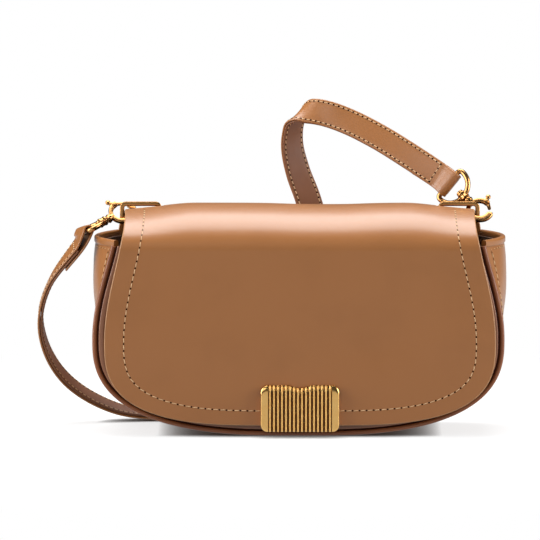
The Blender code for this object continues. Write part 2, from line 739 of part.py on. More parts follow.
def build_hook(side, word, swivel, gate_pivot):
    """A crescent hook body, its sprung gate with a thumb knob, and the rivet."""
    place = hook_frame(side)
    rings = []
    start, end = HOOK_FORK_ANGLE, HOOK_NOSE_ANGLE + 2 * pi
    for k in range(HOOK_STEPS + 1):
        angle = start + (end - start) * k / HOOK_STEPS
        out = HOOK_OUTER_RADIUS - HOOK_FAR_SHIFT * sin(angle)
        middle, half = (out + HOOK_HOLE_RADIUS) / 2, (out - HOOK_HOLE_RADIUS) / 2
        ring = []
        for a, b in rounded_section(half, HOOK_THICKNESS / 2, HOOK_ROUND):
            flat = band_point(angle, middle + a)
            ring.append(Vector((flat.x, flat.y, b)))
        rings.append(ring)
    band = loft(rings)
    band.transform(place)
    body = node("hook_body_" + word, band, GOLD, swivel)

    base = HOOK_HOLE_RADIUS + HOOK_ROUND
    neck = turned(((NECK_RADIUS, base), (NECK_RADIUS, NECK_END)), SMALL_SIDES)
    neck.transform(place @ Matrix.Rotation(-pi / 2, 4, "X"))
    boolean(body, guide("neck_" + word, neck, swivel), "UNION")

    wide = GATE_THICKNESS / 2 + SEAM_GAP
    low, high = FORK_NOSE_ANGLE, FORK_ROOT_ANGLE
    near, far = HOOK_HOLE_RADIUS - CUT_OVERRUN, HOOK_OUTER_RADIUS + CUT_OVERRUN
    sector = [band_point(low, near), band_point(low, far)]
    sector += [band_point((low + high) / 2, far + CUT_OVERRUN / 4)]
    sector += [band_point(high, far), band_point(high, near)]
    slot = disc_prism([tuple(p) for p in sector], -wide, wide)
    slot.transform(place)
    boolean(body, guide("gate_slot_" + word, slot, swivel), "DIFFERENCE")

    eye = band_point(GATE_PIVOT_ANGLE, (HOOK_HOLE_RADIUS + HOOK_OUTER_RADIUS) / 2)
    bore = RIVET_RADIUS + SEAM_GAP
    span = HOOK_THICKNESS / 2 + CUT_OVERRUN
    at_eye = place @ Matrix.Translation((eye.x, eye.y, 0))
    hole = turned(((bore, -span), (bore, span)), SMALL_SIDES)
    hole.transform(at_eye)
    boolean(body, guide("rivet_hole_" + word, hole, swivel), "DIFFERENCE")

    tip = band_point(GATE_TIP_ANGLE, (HOOK_HOLE_RADIUS + HOOK_OUTER_RADIUS) / 2)
    along = (tip - eye).normalized()
    across = Vector((-along.y, along.x))
    knob = band_point(GATE_KNOB_ANGLE, KNOB_REACH)
    to_knob = (knob - eye).normalized()
    knob_side = Vector((-to_knob.y, to_knob.x))
    outline = []
    for k in range(LEVER_STEPS + 1):
        turn = pi * k / LEVER_STEPS
        outline.append(
            eye + along * (GATE_LENGTH - GATE_HALF_WIDTH) + GATE_HALF_WIDTH
            * (along * sin(turn) - across * cos(turn))
        )
    outline.append(
        eye + across * GATE_HALF_WIDTH * GATE_BEND_SHARE + to_knob * GATE_EYE_RADIUS
    )
    for k in range(LEVER_STEPS + 1):
        turn = pi * k / LEVER_STEPS
        outline.append(knob + KNOB_RADIUS * (to_knob * sin(turn) - knob_side * cos(turn)))
    first = atan2((knob - eye).y, (knob - eye).x) + GATE_EYE_START
    for k in range(LEVER_STEPS + 1):
        turn = first + GATE_EYE_SWEEP * k / LEVER_STEPS
        outline.append(eye + GATE_EYE_RADIUS * Vector((cos(turn), sin(turn))))
    lever = disc_prism([tuple(p) for p in outline], -GATE_THICKNESS / 2, GATE_THICKNESS / 2)
    lever.transform(place)
    gate = node("hook_gate_" + word, lever, GOLD, gate_pivot)
    hole = turned(((bore, -GATE_THICKNESS), (bore, GATE_THICKNESS)), SMALL_SIDES)
    hole.transform(at_eye)
    boolean(gate, guide("gate_hole_" + word, hole, gate_pivot), "DIFFERENCE")

    outer = HOOK_THICKNESS / 2 + SEAM_GAP
    rivet = turned((
        (RIVET_HEAD_RADIUS, -outer - RIVET_HEAD), (RIVET_HEAD_RADIUS, -outer),
        (RIVET_RADIUS, -outer), (RIVET_RADIUS, outer),
        (RIVET_HEAD_RADIUS, outer), (RIVET_HEAD_RADIUS, outer + RIVET_HEAD),
    ), SMALL_SIDES)
    rivet.transform(at_eye)
    node("gate_rivet_" + word, rivet, GOLD, swivel)


def gate_place(side):
    """Where the gate's rivet stands, and the way its axis looks."""
    place = hook_frame(side)
    eye = band_point(GATE_PIVOT_ANGLE, (HOOK_HOLE_RADIUS + HOOK_OUTER_RADIUS) / 2)
    return place @ Vector((eye.x, eye.y, 0))


# Swivel pins and D rings


def bar_frame(side):
    """The D ring's frame: origin on its bar, Y back towards the hook, X along the bar."""
    hook = hook_frame(side)
    out = hook.to_3x3() @ Vector((0, 1, 0))
    if side > 0:
        front = (Vector((0, -1, 0)) - Vector((0, -1, 0)).dot(out) * out).normalized()
        bar = front.cross(out)
    else:
        bar = (Vector((0, 1, 0)) - Vector((0, 1, 0)).dot(out) * out).normalized()
        front = out.cross(bar)
    place = Matrix((bar, -out, front)).transposed().to_4x4()
    place.translation = hook.translation + out * BAR_DISTANCE
    return place


def build_d_ring(side, word, swing, swivel):
    """A D of wire with a bored block, and the headed pin that turns in it."""
    place = bar_frame(side)
    half, corner = D_HALF_WIDTH, D_CORNER
    flat = []
    for k in range(BEND_STEPS + 1):
        turn = pi / 2 * k / BEND_STEPS
        flat.append((half - corner + corner * sin(turn), corner - corner * cos(turn)))
    for k in range(1, D_ARC_STEPS):
        turn = pi * k / D_ARC_STEPS
        flat.append((half * cos(turn), corner + (D_REACH - corner) * sin(turn)))
    for k in range(BEND_STEPS + 1):
        turn = pi / 2 * k / BEND_STEPS
        flat.append((-half + corner - corner * cos(turn), corner - corner * sin(turn)))
    points = [place @ Vector((x, y, 0)) for x, y in flat]
    ring = wire(points, place.to_3x3() @ Vector((0, 0, 1)), D_WIRE_RADIUS)
    body = node("d_ring_" + word, ring, GOLD, swing)
    low, high = D_REACH - BLOCK_LENGTH / 2, D_REACH + BLOCK_LENGTH / 2
    spin = place @ Matrix.Rotation(-pi / 2, 4, "X")
    block = turned(((BLOCK_RADIUS, low), (BLOCK_RADIUS, high)), BLOCK_SIDES)
    block.transform(spin)
    boolean(body, guide("block_" + word, block, swing), "UNION")
    bore_radius = PIN_RADIUS + SEAM_GAP
    ends = (low - CUT_OVERRUN, high + CUT_OVERRUN)
    bore = turned([(bore_radius, end) for end in ends], SMALL_SIDES)
    bore.transform(spin)
    boolean(body, guide("block_bore_" + word, bore, swing), "DIFFERENCE")

    end = BAR_DISTANCE - NECK_END - SEAM_GAP
    pin = turned((
        (PIN_HEAD_RADIUS * PIN_CROWN_SHARE, low - SEAM_GAP - PIN_HEAD_THICKNESS),
        (PIN_HEAD_RADIUS, low - SEAM_GAP - PIN_HEAD_THICKNESS / 2),
        (PIN_HEAD_RADIUS, low - SEAM_GAP), (PIN_RADIUS, low - SEAM_GAP), (PIN_RADIUS, end),
    ), SMALL_SIDES)
    pin.transform(spin)
    node("swivel_pin_" + word, pin, GOLD, swivel)


# Strap


def strap_ends():
    """Bar centre, way along the strap and outer face at each end."""
    right, left = bar_frame(1), bar_frame(-1)
    turn = right.to_3x3()
    right_end = (right.translation, turn @ Vector((0, -1, 0)), turn @ Vector((0, 0, 1)))
    bar = left.to_3x3() @ Vector((1, 0, 0))
    down = Vector(STRAP_LEFT_WAY)
    away = (down - down.dot(bar) * bar).normalized()
    left_end = (left.translation, away, bar.cross(away))
    return right_end, left_end


class StrapWay:
    """The strap's middle line, with its facing, measured along its length."""

    def __init__(self):
        (start, out, face), (finish_at, away, last_face) = strap_ends()
        knots = [(start, face), (start + out * STRAP_STRAIGHT, face)]
        for (x, y, z), look in STRAP_WAY_SHARES:
            place = Vector((
                x * BODY_HALF_WIDTH, y * STRAP_BACK_PLANE,
                STRAP_FLOOR + z * (RIDGE_HEIGHT - STRAP_FLOOR),
            ))
            knots.append((place, Vector(look).normalized()))
        knots += [(finish_at + away * STRAP_STRAIGHT, last_face), (finish_at, last_face)]
        first = (2 * knots[0][0] - knots[1][0], knots[0][1])
        last = (2 * knots[-1][0] - knots[-2][0], knots[-1][1])
        knots = [first] + knots + [last]
        self.points, self.faces = [], []
        for here in range(1, len(knots) - 2):
            for k in range(STRAP_DENSE_STEPS):
                self.add(knots[here - 1 : here + 3], k / STRAP_DENSE_STEPS)
        self.points.append(knots[-2][0])
        self.faces.append(knots[-2][1])
        self.along = [0.0]
        for a, b in zip(self.points, self.points[1:]):
            self.along.append(self.along[-1] + (b - a).length)
        self.length = self.along[-1]

    def add(self, four, share):
        """One point of a centripetal curve through four knots."""
        places = [k[0] for k in four]
        times = [0.0]
        for a, b in zip(places, places[1:]):
            times.append(times[-1] + sqrt((b - a).length))
        t = times[1] + (times[2] - times[1]) * share
        for which, store in ((0, self.points), (1, self.faces)):
            row = [k[which] for k in four]
            a = [
                row[n] * ((times[n + 1] - t) / (times[n + 1] - times[n]))
                + row[n + 1] * ((t - times[n]) / (times[n + 1] - times[n]))
                for n in range(3)
            ]
            b = [
                a[n] * ((times[n + 2] - t) / (times[n + 2] - times[n]))
                + a[n + 1] * ((t - times[n]) / (times[n + 2] - times[n]))
                for n in range(2)
            ]
            store.append(
                b[0] * ((times[2] - t) / (times[2] - times[1]))
                + b[1] * ((t - times[1]) / (times[2] - times[1]))
            )

    def at(self, distance):
        """Place, outer face and width direction at a distance from the right bar."""
        distance = min(self.length, max(0.0, distance))
        here = 0
        while here < len(self.along) - 2 and self.along[here + 1] < distance:
            here += 1
        span = self.along[here + 1] - self.along[here]
        share = (distance - self.along[here]) / span
        point = self.points[here].lerp(self.points[here + 1], share)
        before = self.points[max(0, here - 1)]
        after = self.points[min(len(self.points) - 1, here + 2)]
        tangent = (after - before).normalized()
        face = self.faces[here].lerp(self.faces[here + 1], share)
        face = (face - face.dot(tangent) * tangent).normalized()
        return point, face, tangent.cross(face)


def ribbon(stations, thickness):
    """A flat band through (point, thickness direction, width direction) stations.

    Both broad sides are cut along the same diagonal, so that two plies that twist
    together keep their gap.
    """
    rings = []
    for point, up, across in stations:
        ring = []
        for a, b in ((-1, 1), (1, 1), (1, -1), (-1, -1)):
            ring.append(point + across * a * STRAP_WIDTH / 2 + up * b * thickness / 2)
        rings.append(ring)
    mesh = loft(rings)
    mesh.verts.ensure_lookup_table()
    for low in range(0, 4 * (len(rings) - 1), 4):
        for ends in ((low, low + 5), (low + 3, low + 6)):
            pair = [mesh.verts[n] for n in ends]
            bmesh.ops.connect_verts(mesh, verts=pair)
    return mesh


def fold(way, distance, sign):
    """The half turn of the strap's face leather round a bar."""
    point, face, across = way.at(distance)
    tangent = face.cross(across) * sign
    turns = [pi * k / FOLD_STEPS for k in range(1, FOLD_STEPS)]
    stations = []
    for turn in turns:
        up = face * cos(turn) - tangent * sin(turn)
        stations.append((point + up * TAIL_OFFSET, up, across))
    return stations


def build_strap(swing):
    """Face leather folded round both D rings, and the backing sewn between."""
    way = StrapWay()

    def offset(distance, amount, flip=1):
        point, face, across = way.at(distance)
        return (point + face * amount, face * flip, across)

    def main_offset(distance):
        near = min(distance, way.length - distance)
        return TAIL_OFFSET + (FACE_OFFSET - TAIL_OFFSET) * ease(near / STRAP_LEAD)

    count = int(round(way.length / STRAP_STATION))
    spots = [way.length * k / count for k in range(count + 1)]
    tail = [s for s in spots if s <= STRAP_TAIL]
    stations = [offset(s, -TAIL_OFFSET, -1) for s in reversed(tail)]
    stations += fold(way, 0.0, 1)[::-1]
    stations += [offset(s, main_offset(s)) for s in spots]
    stations += fold(way, way.length, -1)
    stations += [offset(way.length - s, -TAIL_OFFSET, -1) for s in tail]
    node("strap_face", ribbon(stations, STRAP_FACE_THICKNESS), LEATHER, swing)

    covered = [s for s in spots if STRAP_LEAD <= s <= way.length - STRAP_LEAD]
    stations = [offset(s, BACKING_OFFSET) for s in covered]
    node("strap_backing", ribbon(stations, STRAP_BACKING_THICKNESS), LEATHER, swing)
    print("strap length between bars", round(way.length / MM), "mm")


def main():
    """Build the bag from the body outwards."""
    clear_scene()
    build_panels()
    build_gusset()
    build_bindings()
    build_lining()
    hinge = pivot("flap_pivot", (0, 0, CREST))
    build_flap(hinge)
    swing = pivot("strap_pivot", (0, RING_PLANE, RING_TOP_HEIGHT - RING_RISE))
    build_rings(swing)
    for side, word in ((-1, "left"), (1, "right")):
        swivel = pivot("swivel_pivot_" + word, hook_frame(side).translation, swing)
        gate = pivot("gate_pivot_" + word, gate_place(side), swivel)
        build_hook(side, word, swivel, gate)
        build_d_ring(side, word, swing, swivel)
        place = hook_frame(side)
        for title, row in (("swivel axis", 1), ("gate axis", 2)):
            print(title, word, [round(v, 5) for v in place.col[row].xyz])
    for name, place in PIVOTS.items():
        print(name, [round(v, 5) for v in place])
    build_strap(swing)


main()
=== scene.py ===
"""Leather shoulder bag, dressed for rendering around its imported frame.

Metres, +Z up, front towards -Y.  Each class below builds and dresses one
sub-assembly; main() builds them in order and reports every piece.
"""

import logging
from bisect import bisect_left
from contextlib import contextmanager
from dataclasses import dataclass
from enum import Enum
from math import atan2, cos, hypot, pi, radians, sin, sqrt
from typing import Callable, Iterator, Sequence

import bpy
from mathutils import Matrix, Vector


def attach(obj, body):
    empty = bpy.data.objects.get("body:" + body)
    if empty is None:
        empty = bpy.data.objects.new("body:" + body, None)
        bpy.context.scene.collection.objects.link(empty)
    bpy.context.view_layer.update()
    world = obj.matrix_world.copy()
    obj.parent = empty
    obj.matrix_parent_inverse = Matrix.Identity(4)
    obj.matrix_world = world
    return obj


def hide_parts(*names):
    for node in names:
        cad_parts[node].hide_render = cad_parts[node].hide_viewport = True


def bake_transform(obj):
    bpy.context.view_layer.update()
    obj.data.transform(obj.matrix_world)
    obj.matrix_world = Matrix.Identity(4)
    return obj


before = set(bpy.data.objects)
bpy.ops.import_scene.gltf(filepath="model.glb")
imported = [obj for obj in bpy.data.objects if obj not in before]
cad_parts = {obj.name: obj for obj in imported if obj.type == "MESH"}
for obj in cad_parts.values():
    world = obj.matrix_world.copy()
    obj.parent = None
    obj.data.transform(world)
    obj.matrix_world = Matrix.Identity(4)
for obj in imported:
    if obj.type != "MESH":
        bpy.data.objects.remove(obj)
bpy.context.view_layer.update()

LOG = logging.getLogger("bag")
MM = 0.001
# Points closer than WELD are one; shorter steps than TINY count as this long.
WELD = 1e-6
TINY = 1e-9

BACKWARD = Vector((0, 1, 0))
FORWARD = Vector((0, -1, 0))
UP = Vector((0, 0, 1))

Point = tuple[float, float]
Section = Sequence[Point]
Surface = Sequence[tuple[Vector, Vector]]
Station = tuple[Vector, Vector, Vector]


class Side(Enum):
    """Which side of the bag a piece is on, seen from the front."""

    LEFT = -1
    RIGHT = 1

    @property
    def word(self) -> str:
        """The side's name as the frame's node names end."""
        return self.name.lower()


# ---------------------------------------------------------------- finishes


def linear(code: str) -> tuple[float, float, float, float]:
    """Turn an sRGB hex colour to the linear values that Blender reads.

    Args:
        code: six hex digits with a leading hash.

    Returns:
        Red, green, blue and a full alpha.
    """
    parts = [int(code[k : k + 2], 16) / 255 for k in (1, 3, 5)]
    # The numbers are those of the sRGB curve.
    flat = [p / 12.92 if p <= 0.04045 else ((p + 0.055) / 1.055) ** 2.4 for p in parts]
    return (flat[0], flat[1], flat[2], 1.0)


def plug(tree: bpy.types.NodeTree, node: bpy.types.Node, links: dict) -> None:
    """Link output sockets to a node's inputs, keyed by the input's name or number."""
    for key, socket in links.items():
        tree.links.new(socket, node.inputs[key])


def add(tree: bpy.types.NodeTree, kind: str, settings: dict, links: dict) -> bpy.types.Node:
    """Add one node with its settings and its incoming links.

    Args:
        tree: the material's node tree.
        kind: the node's type name.
        settings: properties, and input values keyed by the socket's name or number.
        links: output sockets keyed by the input socket's name or number.

    Returns:
        The new node.
    """
    made = tree.nodes.new(kind)
    for key, value in settings.items():
        if isinstance(key, str) and key.startswith("."):
            setattr(made, key[1:], value)
        else:
            made.inputs[key].default_value = value
    plug(tree, made, links)
    return made


def texture(tree: bpy.types.NodeTree, kind: str, size: float,
            settings: dict) -> bpy.types.Node:
    """Add a texture that lies in the object's own frame.

    Args:
        tree: the material's node tree.
        kind: Noise, Voronoi or Wave.
        size: the size of its features in metres.
        settings: its other properties and input values.

    Returns:
        The texture's node.
    """
    place = add(tree, "ShaderNodeTexCoord", {}, {})
    return add(tree, "ShaderNodeTex" + kind, {"Scale": 1 / size, **settings},
               {"Vector": place.outputs["Object"]})


def bump(tree: bpy.types.NodeTree, strength: float, depth: float,
         links: dict) -> bpy.types.NodeSocket:
    """Raise the surface by a value.

    Args:
        tree: the material's node tree.
        strength: how much of the relief shows, 0 to 1.
        depth: the relief's depth in metres.
        links: the height, and the normal below it if there is one.

    Returns:
        The new normal's socket.
    """
    made = add(tree, "ShaderNodeBump", {"Strength": strength, "Distance": depth}, links)
    return made.outputs["Normal"]


def ranged(tree: bpy.types.NodeTree, source: bpy.types.NodeSocket, taken: Point,
           given: Point) -> bpy.types.NodeSocket:
    """Map one range of a value to another.

    Args:
        tree: the material's node tree.
        source: the value.
        taken: the range that it has.
        given: the range that it gets.

    Returns:
        The mapped value's socket.
    """
    made = add(tree, "ShaderNodeMapRange", {
        "From Min": taken[0], "From Max": taken[1], "To Min": given[0], "To Max": given[1],
    }, {"Value": source})
    return made.outputs["Result"]


def ramp(tree: bpy.types.NodeTree, source: bpy.types.NodeSocket,
         stops: Sequence[tuple[float, str]]) -> bpy.types.NodeSocket:
    """Colour a value through a ramp.

    Args:
        tree: the material's node tree.
        source: the value that is coloured.
        stops: (place, hex colour) pairs in order.

    Returns:
        The ramp's colour socket.
    """
    made = add(tree, "ShaderNodeValToRGB", {}, {"Fac": source})
    band = made.color_ramp.elements
    while len(band) < len(stops):
        band.new(stops[-1][0])
    for element, (place, code) in zip(band, stops):
        element.position = place
        element.color = linear(code)
    return made.outputs["Color"]


# The scale that gives a diagonal wave texture a period of one metre.
DIAGONAL_WAVE = 2 * pi / (10 * sqrt(3))


@dataclass(frozen=True)
class Finish:
    """What every finish has: its name and how it answers light."""

    name: str
    base: str
    roughness: float
    metallic: float = 0.0
    ior: float = 1.5
    coat: float = 0.0
    coat_roughness: float = 0.1
    sheen: float = 0.0

    def start(self) -> tuple[bpy.types.Material, bpy.types.NodeTree, bpy.types.Node]:
        """Make the material with its plain values.

        Returns:
            The material, its tree and its Principled shader.
        """
        made = bpy.data.materials.new(self.name)
        made.use_nodes = True
        shader = made.node_tree.nodes["Principled BSDF"]
        plain = {"Base Color": linear(self.base), "Roughness": self.roughness,
                 "Metallic": self.metallic, "Coat Weight": self.coat,
                 "Coat Roughness": self.coat_roughness, "Sheen Weight": self.sheen}
        if not self.metallic:
            plain["IOR"] = self.ior
        for key, value in plain.items():
            shader.inputs[key].default_value = value
        return made, made.node_tree, shader

    def material(self) -> bpy.types.Material:
        """The finished material, made once."""
        found = bpy.data.materials.get(self.name)
        return found if found is not None else self.make()

    def make(self) -> bpy.types.Material:
        """Build the nodes of this finish."""
        return self.start()[0]


@dataclass(frozen=True)
class BoxCalf(Finish):
    """Smooth chrome-tanned calf: aniline colour under a thin polished top coat."""

    light: str = "#965E2A"
    dark: str = "#915A26"
    pore_mm: float = 0.55
    grain_mm: float = 2.2
    cloud_mm: float = 42.0
    crease_mm: float = 9.0
    pore_depth: float = 0.04 * MM
    crease_depth: float = 0.16 * MM
    grain_share: float = 0.18
    pore_bump: float = 0.22
    crease_bump: float = 0.35
    smoother: float = 0.05
    rougher: float = 0.07

    def make(self) -> bpy.types.Material:
        """Cloudy dye, fine hair pores and faint creases.

        Returns:
            The leather material.
        """
        made, tree, shader = self.start()
        # The dye takes unevenly, in soft clouds a few centimetres across.
        cloud = texture(tree, "Noise", self.cloud_mm * MM,
                        {"Detail": 3.0, "Roughness": 0.55})
        grain = texture(tree, "Noise", self.grain_mm * MM,
                        {"Detail": 4.0, "Roughness": 0.6})
        dye = add(tree, "ShaderNodeMath",
                  {".operation": "MULTIPLY_ADD", 1: self.grain_share},
                  {0: grain.outputs["Fac"], 2: cloud.outputs["Fac"]})
        tone = ramp(tree, dye.outputs[0], ((0.38, self.dark), (0.58, self.base),
                                          (0.80, self.light)))
        # Hair pores: cells about half a millimetre across, barely felt.
        pores = texture(tree, "Voronoi", self.pore_mm * MM,
                        {".feature": "DISTANCE_TO_EDGE"})
        crease = texture(tree, "Noise", self.crease_mm * MM,
                         {"Detail": 5.0, "Roughness": 0.6, "Distortion": 0.6})
        below = bump(tree, self.pore_bump, self.pore_depth,
                     {"Height": pores.outputs["Distance"]})
        normal = bump(tree, self.crease_bump, self.crease_depth,
                      {"Height": crease.outputs["Fac"], "Normal": below})
        rough = ranged(tree, grain.outputs["Fac"], (0.3, 0.7),
                       (self.roughness - self.smoother, self.roughness + self.rougher))
        plug(tree, shader, {"Base Color": tone, "Normal": normal, "Roughness": rough})
        return made


@dataclass(frozen=True)
class EdgePaint(Finish):
    """Acrylic edge paint on a skived leather edge: smooth, a little uneven."""

    worn: str = "#8A5434"
    rub_mm: float = 6.25
    brush_depth: float = 0.1 * MM
    brush_bump: float = 0.25

    def make(self) -> bpy.types.Material:
        """Paint that thins to the leather here and there.

        Returns:
            The edge material.
        """
        made, tree, shader = self.start()
        rub = texture(tree, "Noise", self.rub_mm * MM, {"Detail": 4.0}).outputs["Fac"]
        tone = ramp(tree, rub, ((0.35, self.base), (0.75, self.worn)))
        brush = bump(tree, self.brush_bump, self.brush_depth, {"Height": rub})
        plug(tree, shader, {"Base Color": tone, "Normal": brush})
        return made


@dataclass(frozen=True)
class Twill(Finish):
    """Woven cotton: diagonal ribs of matt yarn."""

    shade: str = "#4A2C1A"
    rib_mm: float = 1.3
    slub_mm: float = 10 / 9
    slub_share: float = 0.5
    rib_depth: float = 0.2 * MM
    rib_bump: float = 0.5

    def make(self) -> bpy.types.Material:
        """Diagonal yarn ribs with a slub here and there.

        Returns:
            The cloth material.
        """
        made, tree, shader = self.start()
        ribs = texture(tree, "Wave", self.rib_mm * MM / DIAGONAL_WAVE, {
            ".bands_direction": "DIAGONAL", "Distortion": 0.3, "Detail": 1.0})
        slub = texture(tree, "Noise", self.slub_mm * MM, {"Detail": 2.0})
        yarn = add(tree, "ShaderNodeMath",
                   {".operation": "MULTIPLY_ADD", 1: self.slub_share},
                   {0: slub.outputs["Fac"], 2: ribs.outputs["Fac"]}).outputs[0]
        tone = ramp(tree, yarn, ((0.2, self.shade), (1.0, self.base)))
        ridge = bump(tree, self.rib_bump, self.rib_depth, {"Height": yarn})
        plug(tree, shader, {"Base Color": tone, "Normal": ridge})
        return made


@dataclass(frozen=True)
class PlatedMetal(Finish):
    """Cast zinc or steel, polished and plated: mirror-like with hairline wear."""

    warm: str = "#C8914A"
    wear_mm: float = 6.0
    wear: float = 0.08

    def make(self) -> bpy.types.Material:
        """Plating with faint handling marks.

        Returns:
            The metal material.
        """
        made, tree, shader = self.start()
        haze = texture(tree, "Noise", self.wear_mm * MM,
                       {"Detail": 6.0, "Roughness": 0.7}).outputs["Fac"]
        tone = ramp(tree, haze, ((0.3, self.warm), (0.7, self.base)))
        rough = ranged(tree, haze, (0.3, 0.75),
                       (self.roughness, self.roughness + self.wear))
        plug(tree, shader, {"Base Color": tone, "Roughness": rough})
        return made


@dataclass(frozen=True)
class WaxedThread(Finish):
    """Waxed linen thread: twisted plies with a dull shine."""

    ply_mm: float = 0.5
    twist_depth: float = 0.1 * MM
    twist_bump: float = 0.5

    def make(self) -> bpy.types.Material:
        """Twist marks across the thread.

        Returns:
            The thread material.
        """
        made, tree, shader = self.start()
        twist = texture(tree, "Wave", self.ply_mm * MM / DIAGONAL_WAVE,
                        {".bands_direction": "DIAGONAL"})
        lift = bump(tree, self.twist_bump, self.twist_depth,
                    {"Height": twist.outputs["Fac"]})
        plug(tree, shader, {"Normal": lift})
        return made


CALF = BoxCalf("box calf, polished", "#955D29", 0.44, coat=0.58, coat_roughness=0.28)
# The rolled edge: the same calf painted darker, as painted shade on the roll.
CALF_SHADED = BoxCalf("box calf, rolled edge, painted shade", "#7E441C", 0.42, coat=0.2,
                    coat_roughness=0.3, light="#884C24", dark="#703816")
# The inner band: the calf painted pinker, as a painted sheen.
CALF_SHEEN = BoxCalf("box calf, inner band, painted sheen", "#885638", 0.40, coat=0.5,
                    coat_roughness=0.3, light="#906044", dark="#7C4C30")
CALF_LINING = BoxCalf("lining calf, matt", "#74472A", 0.55, light="#7F5031",
                      dark="#653B21")
EDGE = EdgePaint("edge paint, satin", "#A87A50", 0.42, worn="#946640")
COTTON = Twill("cotton twill", "#7A5236", 0.85, sheen=0.2)
GOLD = PlatedMetal("gold plating, polished", "#D09C62", 0.19, metallic=1.0, warm="#B5824B")
# The plate's gold: a lighter copy of the rings' gold, painted light.
GOLD_LIT = PlatedMetal("gold plating, plate, painted light", "#FFD084", 0.20, metallic=1.0,
                        warm="#F4BE6E")
STEEL = PlatedMetal("stamped steel, nickel plated", "#B9B6B0", 0.30, metallic=1.0,
                    warm="#A7A49D")
THREAD = WaxedThread("waxed linen thread", "#CDAA80", 0.60)
# The stitch holes: dark discs of painted shade.
HOLE_SHADE = Finish("stitch holes, painted shade", "#260E06", 0.90, ior=1.2)
SEAM_SHADE = Finish("seam, deep in shade", "#2E0F07", 0.95, ior=1.2)
# A dark sheet down in the clasp's grooves: painted shade.
GROOVE_SHADE = Finish("painted groove shade", "#260D05", 0.75, ior=1.25)
BOARD = Twill("pressed fibre board", "#4E463C", 0.80, shade="#3C352D")


# ---------------------------------------------------------------- measures


def ease(share: float) -> float:
    """A smooth 0 to 1 step."""
    share = min(1.0, max(0.0, share))
    return (1 - cos(pi * share)) / 2


def mix(a: float, b: float, share: float) -> float:
    """A value part of the way from a to b."""
    return a + (b - a) * share


def arc(span: float, steps: int, start: float = 0.0) -> list[float]:
    """The angles from a start across a span, both ends with them."""
    return [start + span * k / steps for k in range(steps + 1)]


def heading(path: Sequence[Vector], here: int) -> Vector:
    """The direction of an open path at one of its points."""
    return (path[min(len(path) - 1, here + 1)] - path[max(0, here - 1)]).normalized()


def running(steps: Sequence[float]) -> list[float]:
    """The distance covered before each step and after the last.

    Args:
        steps: the length of each step.

    Returns:
        The distances, one more than the steps.
    """
    along = [0.0]
    for step in steps:
        along.append(along[-1] + step)
    return along


def span_at(along: Sequence[float], distance: float) -> tuple[int, float]:
    """Find the span of a measured path that a distance falls in.

    Args:
        along: the distance at each point of the path.
        distance: what is looked for.

    Returns:
        The span's first point and the share of the span.
    """
    here = min(len(along) - 2, max(0, bisect_left(along, distance) - 1))
    return here, (distance - along[here]) / max(TINY, along[here + 1] - along[here])


# ---------------------------------------------------------------- workshop


def only(piece: bpy.types.Object) -> None:
    """Select one piece alone and make it active.

    Args:
        piece: the piece.
    """
    bpy.ops.object.select_all(action="DESELECT")
    piece.select_set(True)
    bpy.context.view_layer.objects.active = piece


def newest(name: str) -> bpy.types.Object:
    """Name the object that an operator has just added.

    Args:
        name: the name, for its mesh or lamp data too.

    Returns:
        The object.
    """
    made = bpy.context.object
    made.name = name
    made.data.name = name
    return made


def settle(piece: bpy.types.Object) -> None:
    """Put a piece's place into its mesh, so its object stands at the origin."""
    only(piece)
    bpy.ops.object.transform_apply(location=True, rotation=True, scale=True)


def apply_all(piece: bpy.types.Object) -> None:
    """Apply a piece's modifiers in their order.

    Args:
        piece: the piece.
    """
    only(piece)
    for step in list(piece.modifiers):
        bpy.ops.object.modifier_apply(modifier=step.name)


@contextmanager
def editing(piece: bpy.types.Object) -> Iterator[None]:
    """Edit a piece's mesh, all of it selected, and turn its faces outwards at the end.

    Args:
        piece: the piece to edit.

    Yields:
        Nothing, while the mesh is in edit mode.
    """
    only(piece)
    bpy.ops.object.mode_set(mode="EDIT")
    bpy.ops.mesh.select_all(action="SELECT")
    yield
    bpy.ops.mesh.select_all(action="SELECT")
    bpy.ops.mesh.normals_make_consistent(inside=False)
    bpy.ops.object.mode_set(mode="OBJECT")


def pick_open_edges() -> None:
    """Select only the open edges of the mesh that is being edited."""
    bpy.ops.mesh.select_all(action="DESELECT")
    bpy.ops.mesh.select_mode(type="EDGE")
    bpy.ops.mesh.select_non_manifold(extend=False)


def tidy_mesh(piece: bpy.types.Object, cap: bool) -> None:
    """Join the mesh's seams, close its open ends and turn its faces outwards.

    Args:
        piece: the piece to tidy.
        cap: whether open loops are filled.
    """
    with editing(piece):
        bpy.ops.mesh.remove_doubles(threshold=WELD)
        if cap:
            pick_open_edges()
            bpy.ops.mesh.edge_face_add()
            bpy.ops.mesh.select_mode(type="VERT")


def mapped_grid(name: str, columns: int, rows: int,
                place: Callable[[int, int], Vector]) -> bpy.types.Object:
    """Add a grid primitive and lay each of its points on a surface.

    Args:
        name: the piece's name.
        columns: faces across.
        rows: faces along.
        place: gives the point for a column and a row number.

    Returns:
        The new piece, an open sheet.
    """
    bpy.ops.object.select_all(action="DESELECT")
    bpy.ops.mesh.primitive_grid_add(x_subdivisions=columns, y_subdivisions=rows, size=1,
                                    location=(0, 0, 0))
    made = newest(name)
    for vert in made.data.vertices:
        column = round((vert.co.x + 0.5) * columns)
        row = round((vert.co.y + 0.5) * rows)
        vert.co = place(column, row)
    made.data.update()
    return made


def loft(name: str, stations: Sequence[Station], section: Section,
         closed: bool = False) -> bpy.types.Object:
    """Lay a skin over copies of a section.

    Args:
        name: the piece's name.
        stations: where each copy stands, with its up and its across direction.
        section: (across, up) offsets in order round the section.
        closed: whether the last copy meets the first.

    Returns:
        The new piece, capped unless it is closed.
    """
    count = len(stations)

    def place(column: int, row: int) -> Vector:
        """A point of one copy."""
        point, up, across = stations[row % count]
        a, b = section[column % len(section)]
        return point + across * a + up * b

    made = mapped_grid(name, len(section), count if closed else count - 1, place)
    tidy_mesh(made, not closed)
    return made


